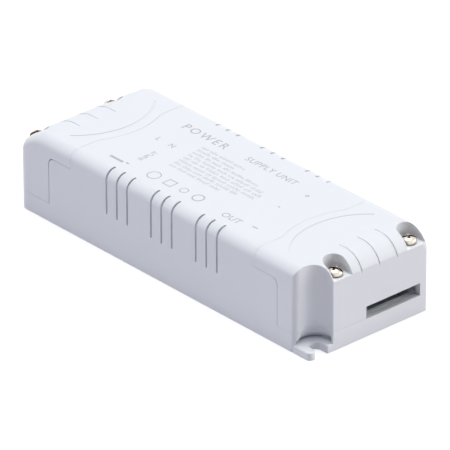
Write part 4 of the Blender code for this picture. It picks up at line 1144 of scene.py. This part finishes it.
def white_surround(sky):
    """Soft light from all round, white behind the object."""
    world = bpy.data.worlds.new("surround")
    world.use_nodes = True
    tree = world.node_tree
    background = tree.nodes["Background"]
    mix = tree.nodes.new("ShaderNodeMix")
    mix.data_type = "RGBA"
    mix.inputs["A"].default_value = (*sky, 1)
    mix.inputs["B"].default_value = (1, 1, 1, 1)
    tree.links.new(seen_rays(tree), mix.inputs["Factor"])
    tree.links.new(mix.outputs["Result"], background.inputs["Color"])
    bpy.context.scene.world = world


def lamp(name, strength, towards, spread, colour):
    """A wide soft lamp that shines from towards."""
    light = bpy.data.lights.new(name, "SUN")
    light.energy = strength
    light.angle = spread
    light.color = colour
    item = bpy.data.objects.new(name, light)
    item.rotation_mode = "QUATERNION"
    item.rotation_quaternion = Vector(towards).to_track_quat("Z", "Y")
    bpy.context.scene.collection.objects.link(item)


class MakeStudio(bpy.types.Operator):
    """Make the floor, the soft light and the camera"""
    bl_idname = "led_driver.make_studio"
    bl_label = "Studio"

    def execute(self, context):
        scene = context.scene
        studio = scene.driver_studio
        shape = new_shape()
        bmesh.ops.create_grid(shape, x_segments=2, y_segments=2, size=4.0)
        floor = new_piece("floor", shape)
        floor.data.materials.append(pale_floor())
        floor.location.z = -0.00002
        white_surround(studio.sky)
        lamp("key", studio.key, (-0.06, 0.06, 1.0), radians(40), (0.985, 0.99, 1.0))
        lamp("end", studio.end, (1.0, 1.1, 0.15), radians(50), (1.0, 0.97, 0.91))
        lamp("rake", studio.rake, (-1.0, -0.7, 0.35), radians(50), (0.94, 0.95, 1.0))
        a = studio.azimuth
        e = studio.elevation
        back = Vector((sin(a) * cos(e), -cos(a) * cos(e), sin(e)))
        level = Vector((cos(a), sin(a), 0))
        upright = back.cross(level)
        right = level * cos(studio.roll) + upright * sin(studio.roll)
        up = upright * cos(studio.roll) - level * sin(studio.roll)
        camera = bpy.data.objects.new("camera", bpy.data.cameras.new("camera"))
        place = Vector((0, 0, 0.01204)) + back * studio.distance + right * studio.aside + up * studio.above
        camera.matrix_world = Matrix.Translation(place) @ Matrix((right, up, back)).transposed().to_4x4()
        camera.data.lens = studio.lens
        camera.data.sensor_width = 36
        scene.collection.objects.link(camera)
        scene.camera = camera
        scene.view_settings.view_transform = "Standard"
        return {"FINISHED"}


class DriverPanel(bpy.types.Panel):
    """The steps in order"""
    bl_idname = "VIEW3D_PT_led_driver"
    bl_label = "LED driver"
    bl_space_type = "VIEW_3D"
    bl_region_type = "UI"
    bl_category = "LED driver"

    def draw(self, context):
        for step in STEPS:
            self.layout.operator(step.bl_idname)


STEPS = (MakeCase, MakeScrews, MakeBase, MakePrint, DressInnerParts, MakeStudio)
GROUPS = {
    "driver_case": CaseSizes,
    "driver_covers": CoverSizes,
    "driver_vents": VentSizes,
    "driver_screws": ScrewSizes,
    "driver_colours": FinishColours,
    "driver_studio": StudioSettings,
}


def register():
    for kind in (*GROUPS.values(), *STEPS, DriverPanel):
        bpy.utils.register_class(kind)
    for name, kind in GROUPS.items():
        setattr(bpy.types.Scene, name, PointerProperty(type=kind))


def unregister():
    for name in GROUPS:
        delattr(bpy.types.Scene, name)
    for kind in (DriverPanel, *STEPS, *GROUPS.values()):
        bpy.utils.unregister_class(kind)


def main():
    register()
    bpy.ops.led_driver.make_case()
    bpy.ops.led_driver.make_screws()
    bpy.ops.led_driver.make_base()
    bpy.ops.led_driver.make_print()
    bpy.ops.led_driver.dress_inner_parts()
    bpy.ops.led_driver.make_studio()


if __name__ == "__main__":
    main()
